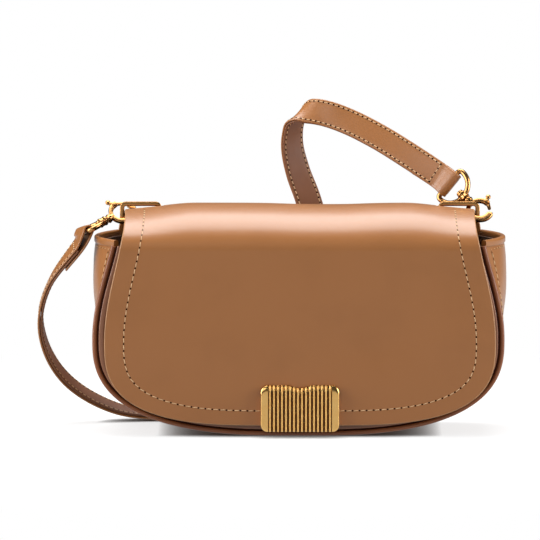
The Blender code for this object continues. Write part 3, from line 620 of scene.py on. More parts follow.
def sweep(name: str, path: Sequence[Vector], normals: Sequence[Vector] | Vector,
          section: Section, closed: bool = False) -> bpy.types.Object:
    """Carry a section along a path.

    Args:
        name: the piece's name.
        path: the points that the section's middle follows.
        normals: the direction of the section's second axis, one or one for each point.
        section: (across, up) offsets in order round the section.
        closed: whether the path meets its own start.

    Returns:
        The new piece, capped unless it is closed.
    """
    if isinstance(normals, Vector):
        normals = [normals] * len(path)
    stations = []
    for here, (point, normal) in enumerate(zip(path, normals)):
        along = heading(path, here)
        if closed:
            along = (path[(here + 1) % len(path)] - path[here - 1]).normalized()
        up = (normal - normal.dot(along) * along).normalized()
        stations.append((point, up, along.cross(up)))
    return loft(name, stations, section, closed)


def round_section(radius: float, sides: int) -> Section:
    """A circle as offsets."""
    turns = [2 * pi * k / sides for k in range(sides)]
    return [(radius * cos(t), radius * sin(t)) for t in turns]


def extrude(way: Vector) -> None:
    """Extrude what is selected of the mesh that is being edited."""
    bpy.ops.mesh.extrude_region_move(TRANSFORM_OT_translate={"value": way})


def soft_section(half_a: float, half_b: float, corner: float, steps: int = 4) -> Section:
    """A rectangle with round corners as offsets.

    Args:
        half_a: half the width.
        half_b: half the height.
        corner: the corners' radius.
        steps: faces round each corner.

    Returns:
        The offsets in order.
    """
    points = []
    for quarter, (sa, sb) in enumerate(((1, 1), (-1, 1), (-1, -1), (1, -1))):
        for k in range(steps + 1):
            turn = pi / 2 * (quarter + k / steps)
            points.append((sa * (half_a - corner) + corner * cos(turn),
                           sb * (half_b - corner) + corner * sin(turn)))
    return points


def slab(name: str, outline: Section, low: float, high: float) -> bpy.types.Object:
    """Extrude a filled outline between two heights.

    Args:
        name: the piece's name.
        outline: points in X and Y.
        low: the height that it starts from.
        high: the height that it is extruded to.

    Returns:
        The new piece, flat at both ends.
    """
    bpy.ops.object.select_all(action="DESELECT")
    bpy.ops.mesh.primitive_circle_add(vertices=len(outline), radius=1, fill_type="NGON",
                                      location=(0, 0, 0))
    made = newest(name)
    for vert, (x, y) in zip(made.data.vertices, outline):
        vert.co = (x, y, low)
    with editing(made):
        extrude(Vector((0, 0, high - low)))
    return made


def turned(name: str, profile: Sequence[Point], sides: int = 32) -> bpy.types.Object:
    """Turn a profile about Z, as on a lathe.

    Args:
        name: the piece's name.
        profile: (radius, height) points in millimetres, from one end to the other.
        sides: how many faces go round.

    Returns:
        The new piece, flat at both ends.
    """
    profile = [(r * MM, z * MM) for r, z in profile]
    first, height = profile[0]
    bpy.ops.object.select_all(action="DESELECT")
    bpy.ops.mesh.primitive_circle_add(vertices=sides, radius=first, fill_type="NGON",
                                      location=(0, 0, height))
    made = newest(name)
    settle(made)
    with editing(made):
        for (r0, z0), (r1, z1) in zip(profile, profile[1:]):
            extrude(Vector((0, 0, z1 - z0)))
            bpy.ops.transform.resize(value=(r1 / r0, r1 / r0, 1),
                                     center_override=(0, 0, z1))
    return made


def move_mesh(piece: bpy.types.Object, place: Matrix) -> bpy.types.Object:
    """Carry a piece's mesh to its place and hand the piece back.

    Args:
        piece: the piece.
        place: where it is carried from the origin.

    Returns:
        The same piece.
    """
    piece.data.transform(place)
    piece.data.update()
    return piece


def join(name: str, pieces: Sequence[bpy.types.Object]) -> bpy.types.Object:
    """Join pieces into one object.

    Args:
        name: the joined piece's name.
        pieces: what is joined; the first one leads.

    Returns:
        The joined piece.
    """
    bpy.ops.object.select_all(action="DESELECT")
    for piece in pieces:
        piece.select_set(True)
    bpy.context.view_layer.objects.active = pieces[0]
    if len(pieces) > 1:
        bpy.ops.object.join()
    return newest(name)


def thicken(piece: bpy.types.Object, thickness: float, offset: float = 0.0) -> None:
    """Give an open sheet its thickness.

    Args:
        piece: the sheet.
        thickness: in metres.
        offset: -1 grows behind the face normals, 0 both ways.
    """
    step = piece.modifiers.new("thickness", "SOLIDIFY")
    step.thickness = thickness
    step.offset = offset
    step.use_even_offset = False
    apply_all(piece)


def soften(piece: bpy.types.Object, width: float, angle: float = 35.0) -> None:
    """Break a piece's sharp edges.

    Args:
        piece: the piece.
        width: the bevel's width.
        angle: edges sharper than this, in degrees, are bevelled.
    """
    step = piece.modifiers.new("soft edges", "BEVEL")
    step.width, step.segments = width, 2
    step.limit_method, step.angle_limit = "ANGLE", radians(angle)
    apply_all(piece)


def cut(piece: bpy.types.Object, tool: bpy.types.Object, operation: str) -> None:
    """Combine a piece with a tool piece, which is used up.

    Args:
        piece: what is cut or joined to.
        tool: the cutter.
        operation: DIFFERENCE, UNION or INTERSECT.
    """
    step = piece.modifiers.new("cut", "BOOLEAN")
    step.operation = operation
    step.solver = "EXACT"
    step.object = tool
    apply_all(piece)
    bpy.data.objects.remove(tool, do_unlink=True)


def dress(piece: bpy.types.Object, finish: Finish, body: str | None,
          stands_for: Sequence[str] = (), smooth: float = 40.0) -> bpy.types.Object:
    """Finish a piece: smooth it, give it its material and fasten it to its body.

    Args:
        piece: the piece.
        finish: its finish.
        body: the body that it moves with, or none for a piece that spans a joint and is
            fastened to no body.
        stands_for: the frame's nodes that it replaces.
        smooth: edges sharper than this, in degrees, stay sharp.

    Returns:
        The same piece.
    """
    only(piece)
    bpy.ops.object.shade_smooth_by_angle(angle=radians(smooth))
    if not piece.data.materials:
        piece.data.materials.append(finish.material())
    if body is not None:
        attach(piece, body)
    if stands_for:
        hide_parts(*stands_for)
    LOG.info("%s: %d faces on %s", piece.name, len(piece.data.polygons), body)
    return piece


# ---------------------------------------------------------------- stitches


@dataclass
class Seam:
    """One row of saddle stitches: thread, and dark discs of painted shade at the punched
    holes between.
    """

    pitch: float = 4.2 * MM
    length: float = 3.2 * MM
    thickness: float = 0.56 * MM
    slant: float = radians(5.0)
    hole: float = 1.2 * MM
    hole_width_share: float = 0.42
    hole_depth: float = 0.1 * MM
    sink_share: float = 0.1
    bluntness: int = 4
    sides: int = 6
    rings: int = 5
    smooth: float = 80.0

    def seed(self, name: str, size: Vector) -> bpy.types.Object:
        """A small rounded lump, the form of a stitch or of a hole.

        Args:
            name: the lump's name.
            size: its half sizes.

        Returns:
            The lump at the origin.
        """
        bpy.ops.object.select_all(action="DESELECT")
        bpy.ops.mesh.primitive_uv_sphere_add(segments=self.sides, ring_count=self.rings,
                                             radius=1, rotation=(0, pi / 2, 0))
        made = newest(name)
        settle(made)
        for vert in made.data.vertices:
            x = vert.co.x
            round_off = sqrt(max(WELD, 1 - x * x))
            blunt = sqrt(max(0.0, 1 - abs(x) ** self.bluntness)) / round_off
            vert.co = Vector((x * size.x, vert.co.y * blunt * size.y, vert.co.z * size.z))
        return made

    def sew(self, name: str, path: Surface, body: str) -> None:
        """Sew along a path on a surface.

        Args:
            name: the row's name.
            path: (point, outward normal) pairs along the surface.
            body: the body that the leather rides on.
        """
        along = running([(b - a).length for (a, _), (b, _) in zip(path, path[1:])])
        count = max(2, round(along[-1] / self.pitch))
        stitch = self.seed(name + "_seed", Vector((self.length / 2, self.thickness / 2,
                                                   self.thickness / 2)))
        # Each hole is a dark disc of painted shade on the leather.
        punch = self.seed(name + "_punch", Vector((
            self.hole / 2, self.hole * self.hole_width_share, self.hole_depth)))
        stitches, punches = [], []
        for k in range(2 * count + 1):
            here, share = span_at(along, along[-1] * k / (2 * count))
            point = path[here][0].lerp(path[here + 1][0], share)
            normal = path[here][1].lerp(path[here + 1][1], share).normalized()
            run = (path[here + 1][0] - path[here][0]).normalized()
            run = (run - run.dot(normal) * normal).normalized()
            turn = Matrix((run, normal.cross(run), normal)).transposed().to_4x4()
            turn.translation = point
            if k % 2:
                turn = turn @ Matrix.Rotation(self.slant, 4, "Z")
                turn = turn @ Matrix.Translation((0, 0, -self.thickness * self.sink_share))
            source, store = (stitch, stitches) if k % 2 else (punch, punches)
            copy = source.copy()
            copy.data = source.data.copy()
            copy.data.transform(turn)
            bpy.context.scene.collection.objects.link(copy)
            store.append(copy)
        thread = join(name, stitches)
        holes = join(name + "_holes", punches)
        for seed in (stitch, punch):
            bpy.data.objects.remove(seed, do_unlink=True)
        dress(thread, THREAD, body, smooth=self.smooth)
        dress(holes, HOLE_SHADE, body, smooth=self.smooth)


# ---------------------------------------------------------------- leather forms


# The height over which a panel draws in, and the rows down its side and its corner.
DRAW_IN_RISE = 85.0 * MM
SIDE_ROWS = 26
CORNER_ROWS = 60


def half_at(height: float, widest: float, waist: float, flat: float, foot: float,
            power: float, draw_in: float) -> float:
    """Half width of a panel that draws in towards its top and rounds in below.

    Args:
        height: where the width is asked for.
        widest: the half width at the waist.
        waist: the height of the widest place.
        flat: half the straight run at the foot.
        foot: the foot's height.
        power: how square the lower corners are.
        draw_in: how much the half width shrinks over DRAW_IN_RISE.

    Returns:
        The half width.
    """
    if height >= waist:
        return widest - draw_in * ease((height - waist) / DRAW_IN_RISE)
    drop = (waist - height) / (waist - foot)
    return flat + (widest - flat) * max(0.0, 1 - drop**power) ** (1 / power)


def heights_down(top: float, waist: float, foot: float, power: float) -> list[float]:
    """Heights down one side of a panel, close together where it rounds in.

    Args:
        top: the first height.
        waist: the height of the widest place.
        foot: the last height.
        power: how square the lower corners are.

    Returns:
        The heights from top to foot.
    """
    heights = [mix(top, waist, k / SIDE_ROWS) for k in range(SIDE_ROWS)]
    return heights + [waist - (waist - foot) * sin(turn) ** (2 / power)
                      for turn in arc(pi / 2, CORNER_ROWS)]


@dataclass(frozen=True)
class Row:
    """One row of a sheet: its half width, its middle and its outward direction."""

    half: float
    y: float
    z: float
    outward: Vector


def row_sheet(name: str, rows: Sequence[Row], columns: int,
              lift: Callable[[Vector], Vector]) -> bpy.types.Object:
    """A sheet of leather through rows.

    Args:
        name: the piece's name.
        rows: the rows in order.
        columns: faces across.
        lift: how far a point leaves its plain place.

    Returns:
        The open sheet.
    """
    def place(column: int, row: int) -> Vector:
        """A point of the sheet."""
        here = rows[row]
        point = Vector((here.half * (2 * column / columns - 1), here.y, here.z))
        return point + lift(point)

    return mapped_grid(name, columns, len(rows) - 1, place)


@dataclass
class Shell:
    """The body's outline and depth, which the leather pieces share."""

    half_width: float = 122.5 * MM
    waist: float = 58.0 * MM
    flat: float = 6.0 * MM
    open_height: float = 114.4 * MM
    draw_in: float = 15.0 * MM
    power: float = 2.6
    front: float = -36.0 * MM
    back: float = 36.0 * MM
    bulge: float = 12.0 * MM
    edge: float = 32.2 * MM
    ridge: float = 137.0 * MM
    spring: float = 112.0 * MM
    ridge_half: float = 104.5 * MM
    crest: float = 136.3 * MM
    droop: float = 3.5 * MM
    droop_start: float = 62.0 * MM
    sag: float = 0.9 * MM
    sag_at: float = 14.0 * MM
    sag_width: float = 26.0 * MM
    sag_power: int = 4

    def outline(self, inset: float = 0.0) -> list[Vector]:
        """The body from its left top corner under the base to the right.

        Args:
            inset: how far inside the outer face.

        Returns:
            Points whose x is across and y is the height.
        """
        right = []
        for height in heights_down(self.open_height, self.waist, 0.0, self.power):
            x = half_at(height, self.half_width, self.waist, self.flat, 0.0, self.power,
                        self.draw_in)
            right.append(Vector((x, height)))
        path = [Vector((-p.x, p.y)) for p in right] + right[::-1]
        moved = []
        for here, point in enumerate(path):
            along = heading(path, here)
            inward = Vector((-along.y, along.x))
            if here in (0, len(path) - 1):
                inward = Vector((1.0 if here == 0 else -1.0, 0.0))
            moved.append(point + inset * inward)
        return moved

    def strip(self, point: Vector, y: float, edge: float) -> Vector:
        """A point of the side strip, swollen sideways between its two seams.

        Args:
            point: the outline's point there.
            y: the place front to back.
            edge: the strip's half depth, where the swelling ends.

        Returns:
            The point.
        """
        rise = (point.y - self.waist) / (self.open_height - self.waist)
        swell = self.bulge * ease(rise) * (1 - (y / edge) ** 2)
        return Vector((point.x + (swell if point.x > 0 else -swell), y, point.y))

    def ridge_lift(self, place: Vector) -> Vector:
        """The ridge sags a little at its corners and beside its middle.

        Args:
            place: a point of the leather.

        Returns:
            How far it sinks there.
        """
        rise = ease((place.z - self.spring) / (self.crest - self.spring))
        out = (abs(place.x) - self.droop_start) / (self.ridge_half - self.droop_start)
        off = (place.x - self.sag_at) / self.sag_width
        soft = self.sag / (1 + off**self.sag_power)
        return Vector((0, 0, -(self.droop * ease(out) + soft) * rise))


# Two crossing waves in the hanging leather: their height, their lengths across and
# down, all in millimetres, and the first one's shift.
BROAD_WAVE = (0.34, 31, 27, 0.7)
FINE_WAVE = (0.22, 17, 39)


@dataclass
class FlapForm:
    """The leather from the crest over the front, and how it lies."""

    shell: Shell
    half_width: float = 117.0 * MM
    waist: float = 57.0 * MM
    flat: float = 20.0 * MM
    foot: float = 7.4 * MM
    power: float = 2.9
    front: float = -42.1 * MM
    arch_steps: int = 30
    hang_start: float = 12 * MM
    hang_fade: float = 60 * MM
    still_foot: float = 30 * MM

    def width(self, height: float) -> float:
        """The flap's half width at a height."""
        return half_at(height, self.half_width, self.waist, self.flat, self.foot,
                       self.power, self.half_width - self.shell.ridge_half)

    def rows(self, front: float, crest: float, inset: float, start: float) -> list[Row]:
        """Rows of one ply from the ridge to the lower edge.

        Args:
            front: the ply's middle on the front.
            crest: its middle at the ridge.
            inset: how far its edge stays back.
            start: the arch's first turn, 0 at the ridge.

        Returns:
            The rows in order.
        """
        rise = crest - self.shell.spring
        made = []
        for k in range(self.arch_steps + 1):
            turn = mix(start, pi / 2, k / self.arch_steps)
            y, z = front * sin(turn), self.shell.spring + rise * cos(turn)
            outward = Vector((0, -rise * sin(turn), -front * cos(turn))).normalized()
            made.append(Row(self.width(z) - inset, y, z, outward))
        below = heights_down(self.shell.spring, self.waist, self.foot, self.power)[1:]
        for height in below:
            low = max(height, self.foot + inset)
            made.append(Row(self.width(height) - inset, front, low, FORWARD))
        return made

    def drape(self, place: Vector) -> Vector:
        """How the hanging leather leaves a plain sheet: soft, shallow waves.

        Args:
            place: a point of the plain sheet.

        Returns:
            How far it moves.
        """
        hang = ease((self.shell.spring + self.hang_start - place.z) / self.hang_fade)
        low = ease((place.z - self.still_foot) / self.still_foot)
        x, z = place.x / MM, place.z / MM
        high, across, down, shift = BROAD_WAVE
        wave = high * sin(x / across + shift) * sin(z / down)
        high, across, down = FINE_WAVE
        wave += high * sin(x / across - z / down)
        return Vector((0, wave * MM * hang * low, 0)) + self.shell.ridge_lift(place)


@dataclass
class SheetMap:
    """Finds a point on a row sheet from its place across and down."""

    rows: Sequence[Row]
    lift: Callable[[Vector], Vector]
    thickness: float

    def __post_init__(self) -> None:
        """Measure the distance down the sheet."""
        self.down = running([hypot(b.y - a.y, b.z - a.z)
                             for a, b in zip(self.rows, self.rows[1:])])

    def at(self, x: float, down: float) -> tuple[Vector, Vector]:
        """A point of the outer face and the way that it looks.

        Args:
            x: the place across.
            down: the distance from the first row.

        Returns:
            The point and the outward normal.
        """
        here, share = span_at(self.down, down)
        a, b = self.rows[here], self.rows[here + 1]
        outward = a.outward.lerp(b.outward, share).normalized()
        point = Vector((x, mix(a.y, b.y, share), mix(a.z, b.z, share)))
        return point + self.lift(point) + outward * self.thickness / 2, outward

    def edge_path(self, side: float, foot: float) -> Surface:
        """A path beside the sheet's free edge, from its left end round to its right.

        Args:
            side: how far inside the side edges it runs.
            foot: how far above the lower edge.

        Returns:
            (point, normal) pairs.
        """
        right = [Vector((row.half, down)) for row, down in zip(self.rows, self.down)]
        left = [Vector((-p.x, p.y)) for p in right]
        path, made = left + right[::-1], []
        for here, point in enumerate(path):
            along = heading(path, here)
            inward = Vector((along.y, -along.x))
            spot = point + inward * mix(foot, side, abs(inward.x))
            spot.y = min(self.down[-1], max(0.0, spot.y))
            made.append(self.at(spot.x, spot.y))
        return made


# How far an edge's paint reaches across and stands over each face.
PAINT_REACH = 0.5 * MM
PAINT_PROUD = 0.04 * MM
PAINT_SIDES = 12


def edge_bead(name: str, path: Surface, thickness: float) -> bpy.types.Object:
    """A painted round edge that closes a sheet's rim.

    Args:
        name: the piece's name.
        path: (point on the outer face, normal) pairs along the rim.
        thickness: the sheet's thickness.

    Returns:
        The bead.
    """
    middle = [point - normal * thickness / 2 for point, normal in path]
    section = [(a * PAINT_REACH / (thickness / 2), b)
               for a, b in round_section(thickness / 2 + PAINT_PROUD, PAINT_SIDES)]
    return sweep(name, middle, [normal for _, normal in path], section)


# ---------------------------------------------------------------- body


@dataclass
class Body:
    """Panels, side strip, rolled edges, lining and ring tabs."""

    shell: Shell
    flap: FlapForm
    panel: float = 2.0 * MM
    panel_inset: float = 1.8 * MM
    panel_columns: int = 90
    panel_swell: float = 0.5 * MM
    puff_across: float = 2.4
    puff_up: float = 0.8
    hide: float = 1.5 * MM
    hide_columns: int = 150
    hide_front: float = 0.9 * MM
    strip: float = 2.0 * MM
    strip_rows: int = 28
    hem_rise: float = 1.2 * MM
    hem_steps: int = 36
    hem_half_thickness: float = 1.75 * MM
    hem_half_height: float = 2.2 * MM
    hem_round: float = 1.3 * MM
    hem_stitch_drop: float = 2.6 * MM
    hem_stitch_tilt: float = 0.1
    hem_thread: float = 0.85 * MM
    strip_stitch_inset: float = 4.4 * MM
    strip_thread: float = 0.75 * MM
    crease: float = 0.8 * MM
    crease_start: float = 40 * MM
    crease_fade: float = 50 * MM
    crease_up: float = 7.0
    crease_across: float = 12.0
    roll: float = 3.0 * MM
    roll_round: float = 1.35 * MM
    inner_band: float = 3.4 * MM
    face_inset: float = 0.45 * MM
    inner_half: float = 0.7 * MM
    inner_round: float = 0.65 * MM
    seam_line: float = 0.8 * MM
    seam_share: float = 0.75
    seam_half: float = 0.3 * MM
    seam_round: float = 0.2 * MM
    rim_spread: float = 1.019
    lopsided: float = 0.016
    band_depth: float = 4.5 * MM
    band_proud: float = 1.0 * MM
    seam_gap: float = 0.3 * MM
    lining: float = 0.6 * MM
    lining_inset: float = 4.6 * MM
    lining_edge: float = 32.0 * MM
    lining_rows: int = 20
    lining_columns: int = 60
    tab_width: float = 10.4 * MM
    tab_thickness: float = 1.2 * MM
    tab_x: float = 92.0 * MM
    tab_steps: int = 24
    tab_start: float = radians(-35)
    tab_wrap: float = radians(-250)
    tab_run: Point = (0.46, 0.78)
    tab_round: float = 0.4 * MM
    bar_radius: float = 1.25 * MM
    bar_y: float = 4.0 * MM
    bar_z: float = 125.5 * MM
    notch_half: float = 82.0 * MM
    notch_depth: float = 13.0 * MM
    notch_front: float = 0.035
    notch_steps: int = 8
    arch_steps: int = 40
    swell: float = 1.6 * MM
    stitch_side: float = 11.2 * MM
    stitch_foot: float = 8.5 * MM
    stitch_trim: int = 3

    def panel_rows(self, y: float, outward: Vector, inset: float) -> list[Row]:
        """Rows of a flat panel inside the rolled edge, from the foot up."""
        path = self.shell.outline(inset)
        return [Row(-p.x, y, p.y, outward) for p in path[: len(path) // 2][::-1]]

    def puff(self, amount: float) -> Callable[[Vector], Vector]:
        """A pillow-like swelling of a panel that fades towards its seams.

        Args:
            amount: the swelling in the middle, positive towards +Y.

        Returns:
            A lift function.
        """
        def lift(place: Vector) -> Vector:
            """How far the panel swells at a place.

            Args:
                place: a point of the flat panel.

            Returns:
                The swelling there.
            """
            high = place.z / self.shell.open_height
            wide = abs(place.x) / self.shell.half_width
            across = max(0.0, 1 - wide**self.puff_across)
            rise = across * sin(pi * min(1.0, max(0.0, high))) ** self.puff_up
            return Vector((0, amount * rise, 0))

        return lift

    def build_front(self) -> None:
        """The front panel behind the flap."""
        rows = self.panel_rows(self.shell.front + self.panel / 2, FORWARD,
                               self.panel_inset)
        piece = row_sheet("front_panel_leather", rows, self.panel_columns,
                          self.puff(-self.panel_swell))
        thicken(piece, self.panel)
        dress(piece, CALF, "bag", ["front_panel"])

    def main_rows(self) -> list[Row]:
        """Rows of the one leather that runs up the back, over and down the front.

        Returns:
            The rows behind the ridge's front, from the foot up.
        """
        middle = self.shell.back - self.panel / 2
        rows = self.panel_rows(middle, BACKWARD, self.panel_inset)
        spring_half = rows[-1].half
        rise = self.shell.crest - self.shell.open_height
        for k, turn in list(enumerate(arc(pi / 2, self.arch_steps)))[1:]:
            y, z = middle * cos(turn), self.shell.open_height + rise * sin(turn)
            half = mix(spring_half, self.shell.ridge_half, ease(k / self.arch_steps))
            if y < self.notch_depth:
                half = self.notch_half
            out = Vector((0, rise * cos(turn), middle * sin(turn))).normalized()
            rows.append(Row(half, max(y, self.hide_front), z, out))
        return rows

    def main_lift(self, place: Vector) -> Vector:
        """The lie of the main leather: puffed behind, draped in front.

        Args:
            place: a point of the plain sheet.

        Returns:
            How far it moves.
        """
        if place.y > 0:
            return self.puff(self.swell)(place) + self.shell.ridge_lift(place)
        return self.flap.drape(place)

    def build_main_leather(self) -> None:
        """Back, ridge and flap as one hide, which bends at the ridge."""
        back = self.main_rows()
        front = self.flap.rows(self.flap.front, self.shell.crest, 0.0, self.notch_front)
        piece = row_sheet("main_leather", back + front, self.hide_columns, self.main_lift)
        thicken(piece, self.hide)
        dress(piece, CALF, None, ["back_panel", "flap_leather"])
        self.bend_at_ridge(piece)

        sheet = SheetMap(front, self.flap.drape, self.hide)
        bead = edge_bead("flap_edge_paint", sheet.edge_path(0.0, 0.0), self.hide)
        dress(bead, EDGE, None)
        self.bend_at_ridge(bead)
        row = sheet.edge_path(self.stitch_side, self.stitch_foot)
        Seam().sew("flap_stitches", row[self.stitch_trim : -self.stitch_trim], "flap")
        self.build_ridge_edges(back)

    def build_ridge_edges(self, back: Sequence[Row]) -> None:
        """The painted edges of the arch, and of the notches that the rings stand in.

        Args:
            back: the hide's rows up the back and over the ridge.
        """
        for side in Side:
            rim = []
            for row in back[len(back) - self.arch_steps - 1 :]:
                if row.half > self.notch_half or row.y > self.notch_depth:
                    point = Vector((side.value * row.half, row.y, row.z))
                    point = point + self.main_lift(point)
                    rim.append((point + row.outward * self.hide / 2, row.outward))
            last, normal = rim[-1]
            for k in range(1, self.notch_steps + 1):
                x = mix(last.x, side.value * self.notch_half, k / self.notch_steps)
                rim.append((Vector((x, last.y, last.z)), normal))
            bead = edge_bead("ridge_edge_paint_" + side.word, rim, self.hide)
            dress(bead, EDGE, "bag")

    def bend_at_ridge(self, piece: bpy.types.Object) -> None:
        """Put a piece's place into its mesh, so it stands at the origin."""
        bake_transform(piece)

    def build_strip(self) -> None:
        """The strip round the sides and base, and its two rows of stitches."""
        path = self.shell.outline()
        edge, rows = self.shell.edge, self.strip_rows

        def place(column: int, row: int) -> Vector:
            """A point of the strip, creased a little towards its open ends.

            Args:
                column: the place along the outline.
                row: the place from back to front.

            Returns:
                The point.
            """
            y = edge * (1 - 2 * row / rows)
            point = path[column]
            spot = self.shell.strip(point, y, edge)
            crease = self.crease * ease((point.y - self.crease_start) / self.crease_fade)
            turn = point.y / MM / self.crease_up + y / MM / self.crease_across
            out = 1 if point.x > 0 else -1
            spot.x -= out * crease * (1 - (y / edge) ** 2) * (0.5 + 0.5 * sin(turn))
            return spot

        piece = mapped_grid("side_strip_leather", len(path) - 1, rows, place)
        thicken(piece, self.strip, -1.0)
        dress(piece, CALF, "bag", ["gusset"])
        for side, corner in zip(Side, (path[0], path[-1])):
            self.build_hem(side, corner)

        far = edge - self.strip_stitch_inset
        for word, y in (("front", -far), ("back", far)):
            row = []
            for here, point in enumerate(path):
                along = heading(path, here)
                row.append((self.shell.strip(point, y, edge),
                            Vector((along.y, 0, -along.x))))
            seam = Seam(thickness=self.strip_thread)
            seam.sew("strip_stitches_" + word, row[2:-2], "bag")

    def build_hem(self, side: Side, corner: Vector) -> None:
        """The folded hem on one open end of the strip, with its stitches.

        Args:
            side: which end it is.
            corner: the outline's last point there.
        """
        edge, middle, hem = self.shell.edge, [], []
        for k in range(self.hem_steps + 1):
            y = edge * (2 * k / self.hem_steps - 1)
            spot = self.shell.strip(corner, y, edge)
            middle.append(Vector((spot.x - side.value * self.strip / 2, y,
                                  self.shell.open_height + self.hem_rise)))
            low = Vector((corner.x, corner.y - self.hem_stitch_drop))
            hem.append((self.shell.strip(low, y, edge),
                        Vector((side.value, 0, self.hem_stitch_tilt)).normalized()))
        section = soft_section(self.hem_half_thickness, self.hem_half_height,
                               self.hem_round)
        rim = sweep("strip_hem_" + side.word, middle, UP, section)
        dress(rim, CALF, "bag", ["gusset_rim_" + side.word])
        seam = Seam(thickness=self.hem_thread)
        seam.sew("hem_stitches_" + side.word, hem[2:-2], "bag")

    def rim_path(self, inset: float, depth: float) -> list[Vector]:
        """The rim's outline at a depth, a little wider than the side strip inside it.

        Args:
            inset: how far inside the outline.
            depth: its place front to back.

        Returns:
            The points, from one open top round the foot to the other.
        """
        spread = self.rim_spread
        return [Vector((p.x * (spread if p.x < 0 else spread - self.lopsided), depth, p.y))
                for p in self.shell.outline(inset)]

    def build_rolled_edges(self) -> None:
        """The rolled edge over each seam, painted darker for shade; the flat band inside
        it, painted pinker for a sheen; and the dark line of painted shade.
        """
        for word, side in (("front", 1), ("back", -1)):
            depth = side * (self.shell.front - self.band_proud + self.band_depth / 2)
            face = side * (self.shell.front - self.face_inset)
            band = self.roll + self.seam_line + self.inner_band / 2
            line = self.roll + self.seam_line / 2
            # Each row: what it is, its place, its half sizes and corner, its finish.
            for part, inset, y, half_width, half_depth, corner, finish in (
                ("rolled_edge", self.roll / 2, depth, self.roll / 2, self.band_depth / 2,
                 self.roll_round, CALF_SHADED),
                ("inner_band", band, face, self.inner_band / 2, self.inner_half,
                 self.inner_round, CALF_SHEEN),
                ("seam_line", line, face, self.seam_line * self.seam_share,
                 self.seam_half, self.seam_round, SEAM_SHADE),
            ):
                piece = sweep(word + "_" + part, self.rim_path(inset, y), BACKWARD,
                              soft_section(half_width, half_depth, corner))
                binding = [word + "_edge_binding"] if part == "rolled_edge" else []
                dress(piece, finish, "bag", binding)

    def build_lining(self) -> None:
        """The cloth inside: a strip round the sides, and two panels."""
        path = self.shell.outline(self.lining_inset)
        edge, rows = self.lining_edge, self.lining_rows

        def place(column: int, row: int) -> Vector:
            """A point of the strip."""
            return self.shell.strip(path[column], edge * (1 - 2 * row / rows), edge)

        strip = mapped_grid("lining_strip", len(path) - 1, rows, place)
        thicken(strip, self.lining, -1.0)
        sheets = [strip]
        for y in (-edge, edge):
            rows = self.panel_rows(y, BACKWARD, self.lining_inset)
            sheet = row_sheet("lining_side", rows, self.lining_columns,
                              lambda place: Vector((0, 0, 0)))
            thicken(sheet, self.lining)
            sheets.append(sheet)
        dress(join("body_lining_cloth", sheets), COTTON, "bag", ["body_lining"])

    def build_tabs(self) -> None:
        """The leather tabs that hold the rings' lower bars."""
        steps, thick = self.tab_steps, self.tab_thickness
        bar = Vector((self.bar_y, self.bar_z))
        middle = self.shell.back - self.panel / 2
        rise = self.shell.crest - self.shell.open_height
        reach = self.bar_radius + self.seam_gap + thick / 2
        drop = self.panel + self.seam_gap + thick / 2 - self.panel / 2
        path = [bar + reach * Vector((cos(turn), sin(turn)))
                for turn in arc(self.tab_wrap, steps, self.tab_start)]
        for k in range(1, steps + 1):
            turn = pi / 2 * mix(*self.tab_run, k / steps)
            path.append(Vector(((middle - drop) * sin(turn), self.shell.open_height
                                + (rise - drop) * cos(turn))))
        for side in Side:
            points, normals = [], []
            for here, spot in enumerate(path):
                along = heading(path, here)
                place = Vector((side.value * self.tab_x, spot.x, spot.y))
                if here > steps:
                    place = place + self.shell.ridge_lift(place)
                points.append(place)
                normals.append(Vector((0, -along.y, along.x)))
            tab = sweep("ring_tab_leather_" + side.word, points, normals,
                        soft_section(self.tab_width / 2, thick / 2, self.tab_round))
            dress(tab, CALF, "bag", ["ring_tab_" + side.word])

    def build(self) -> None:
        """Build every piece of the body."""
        self.build_main_leather()
        self.build_front()
        self.build_strip()
        self.build_rolled_edges()
        self.build_lining()
        self.build_tabs()


# ---------------------------------------------------------------- flap


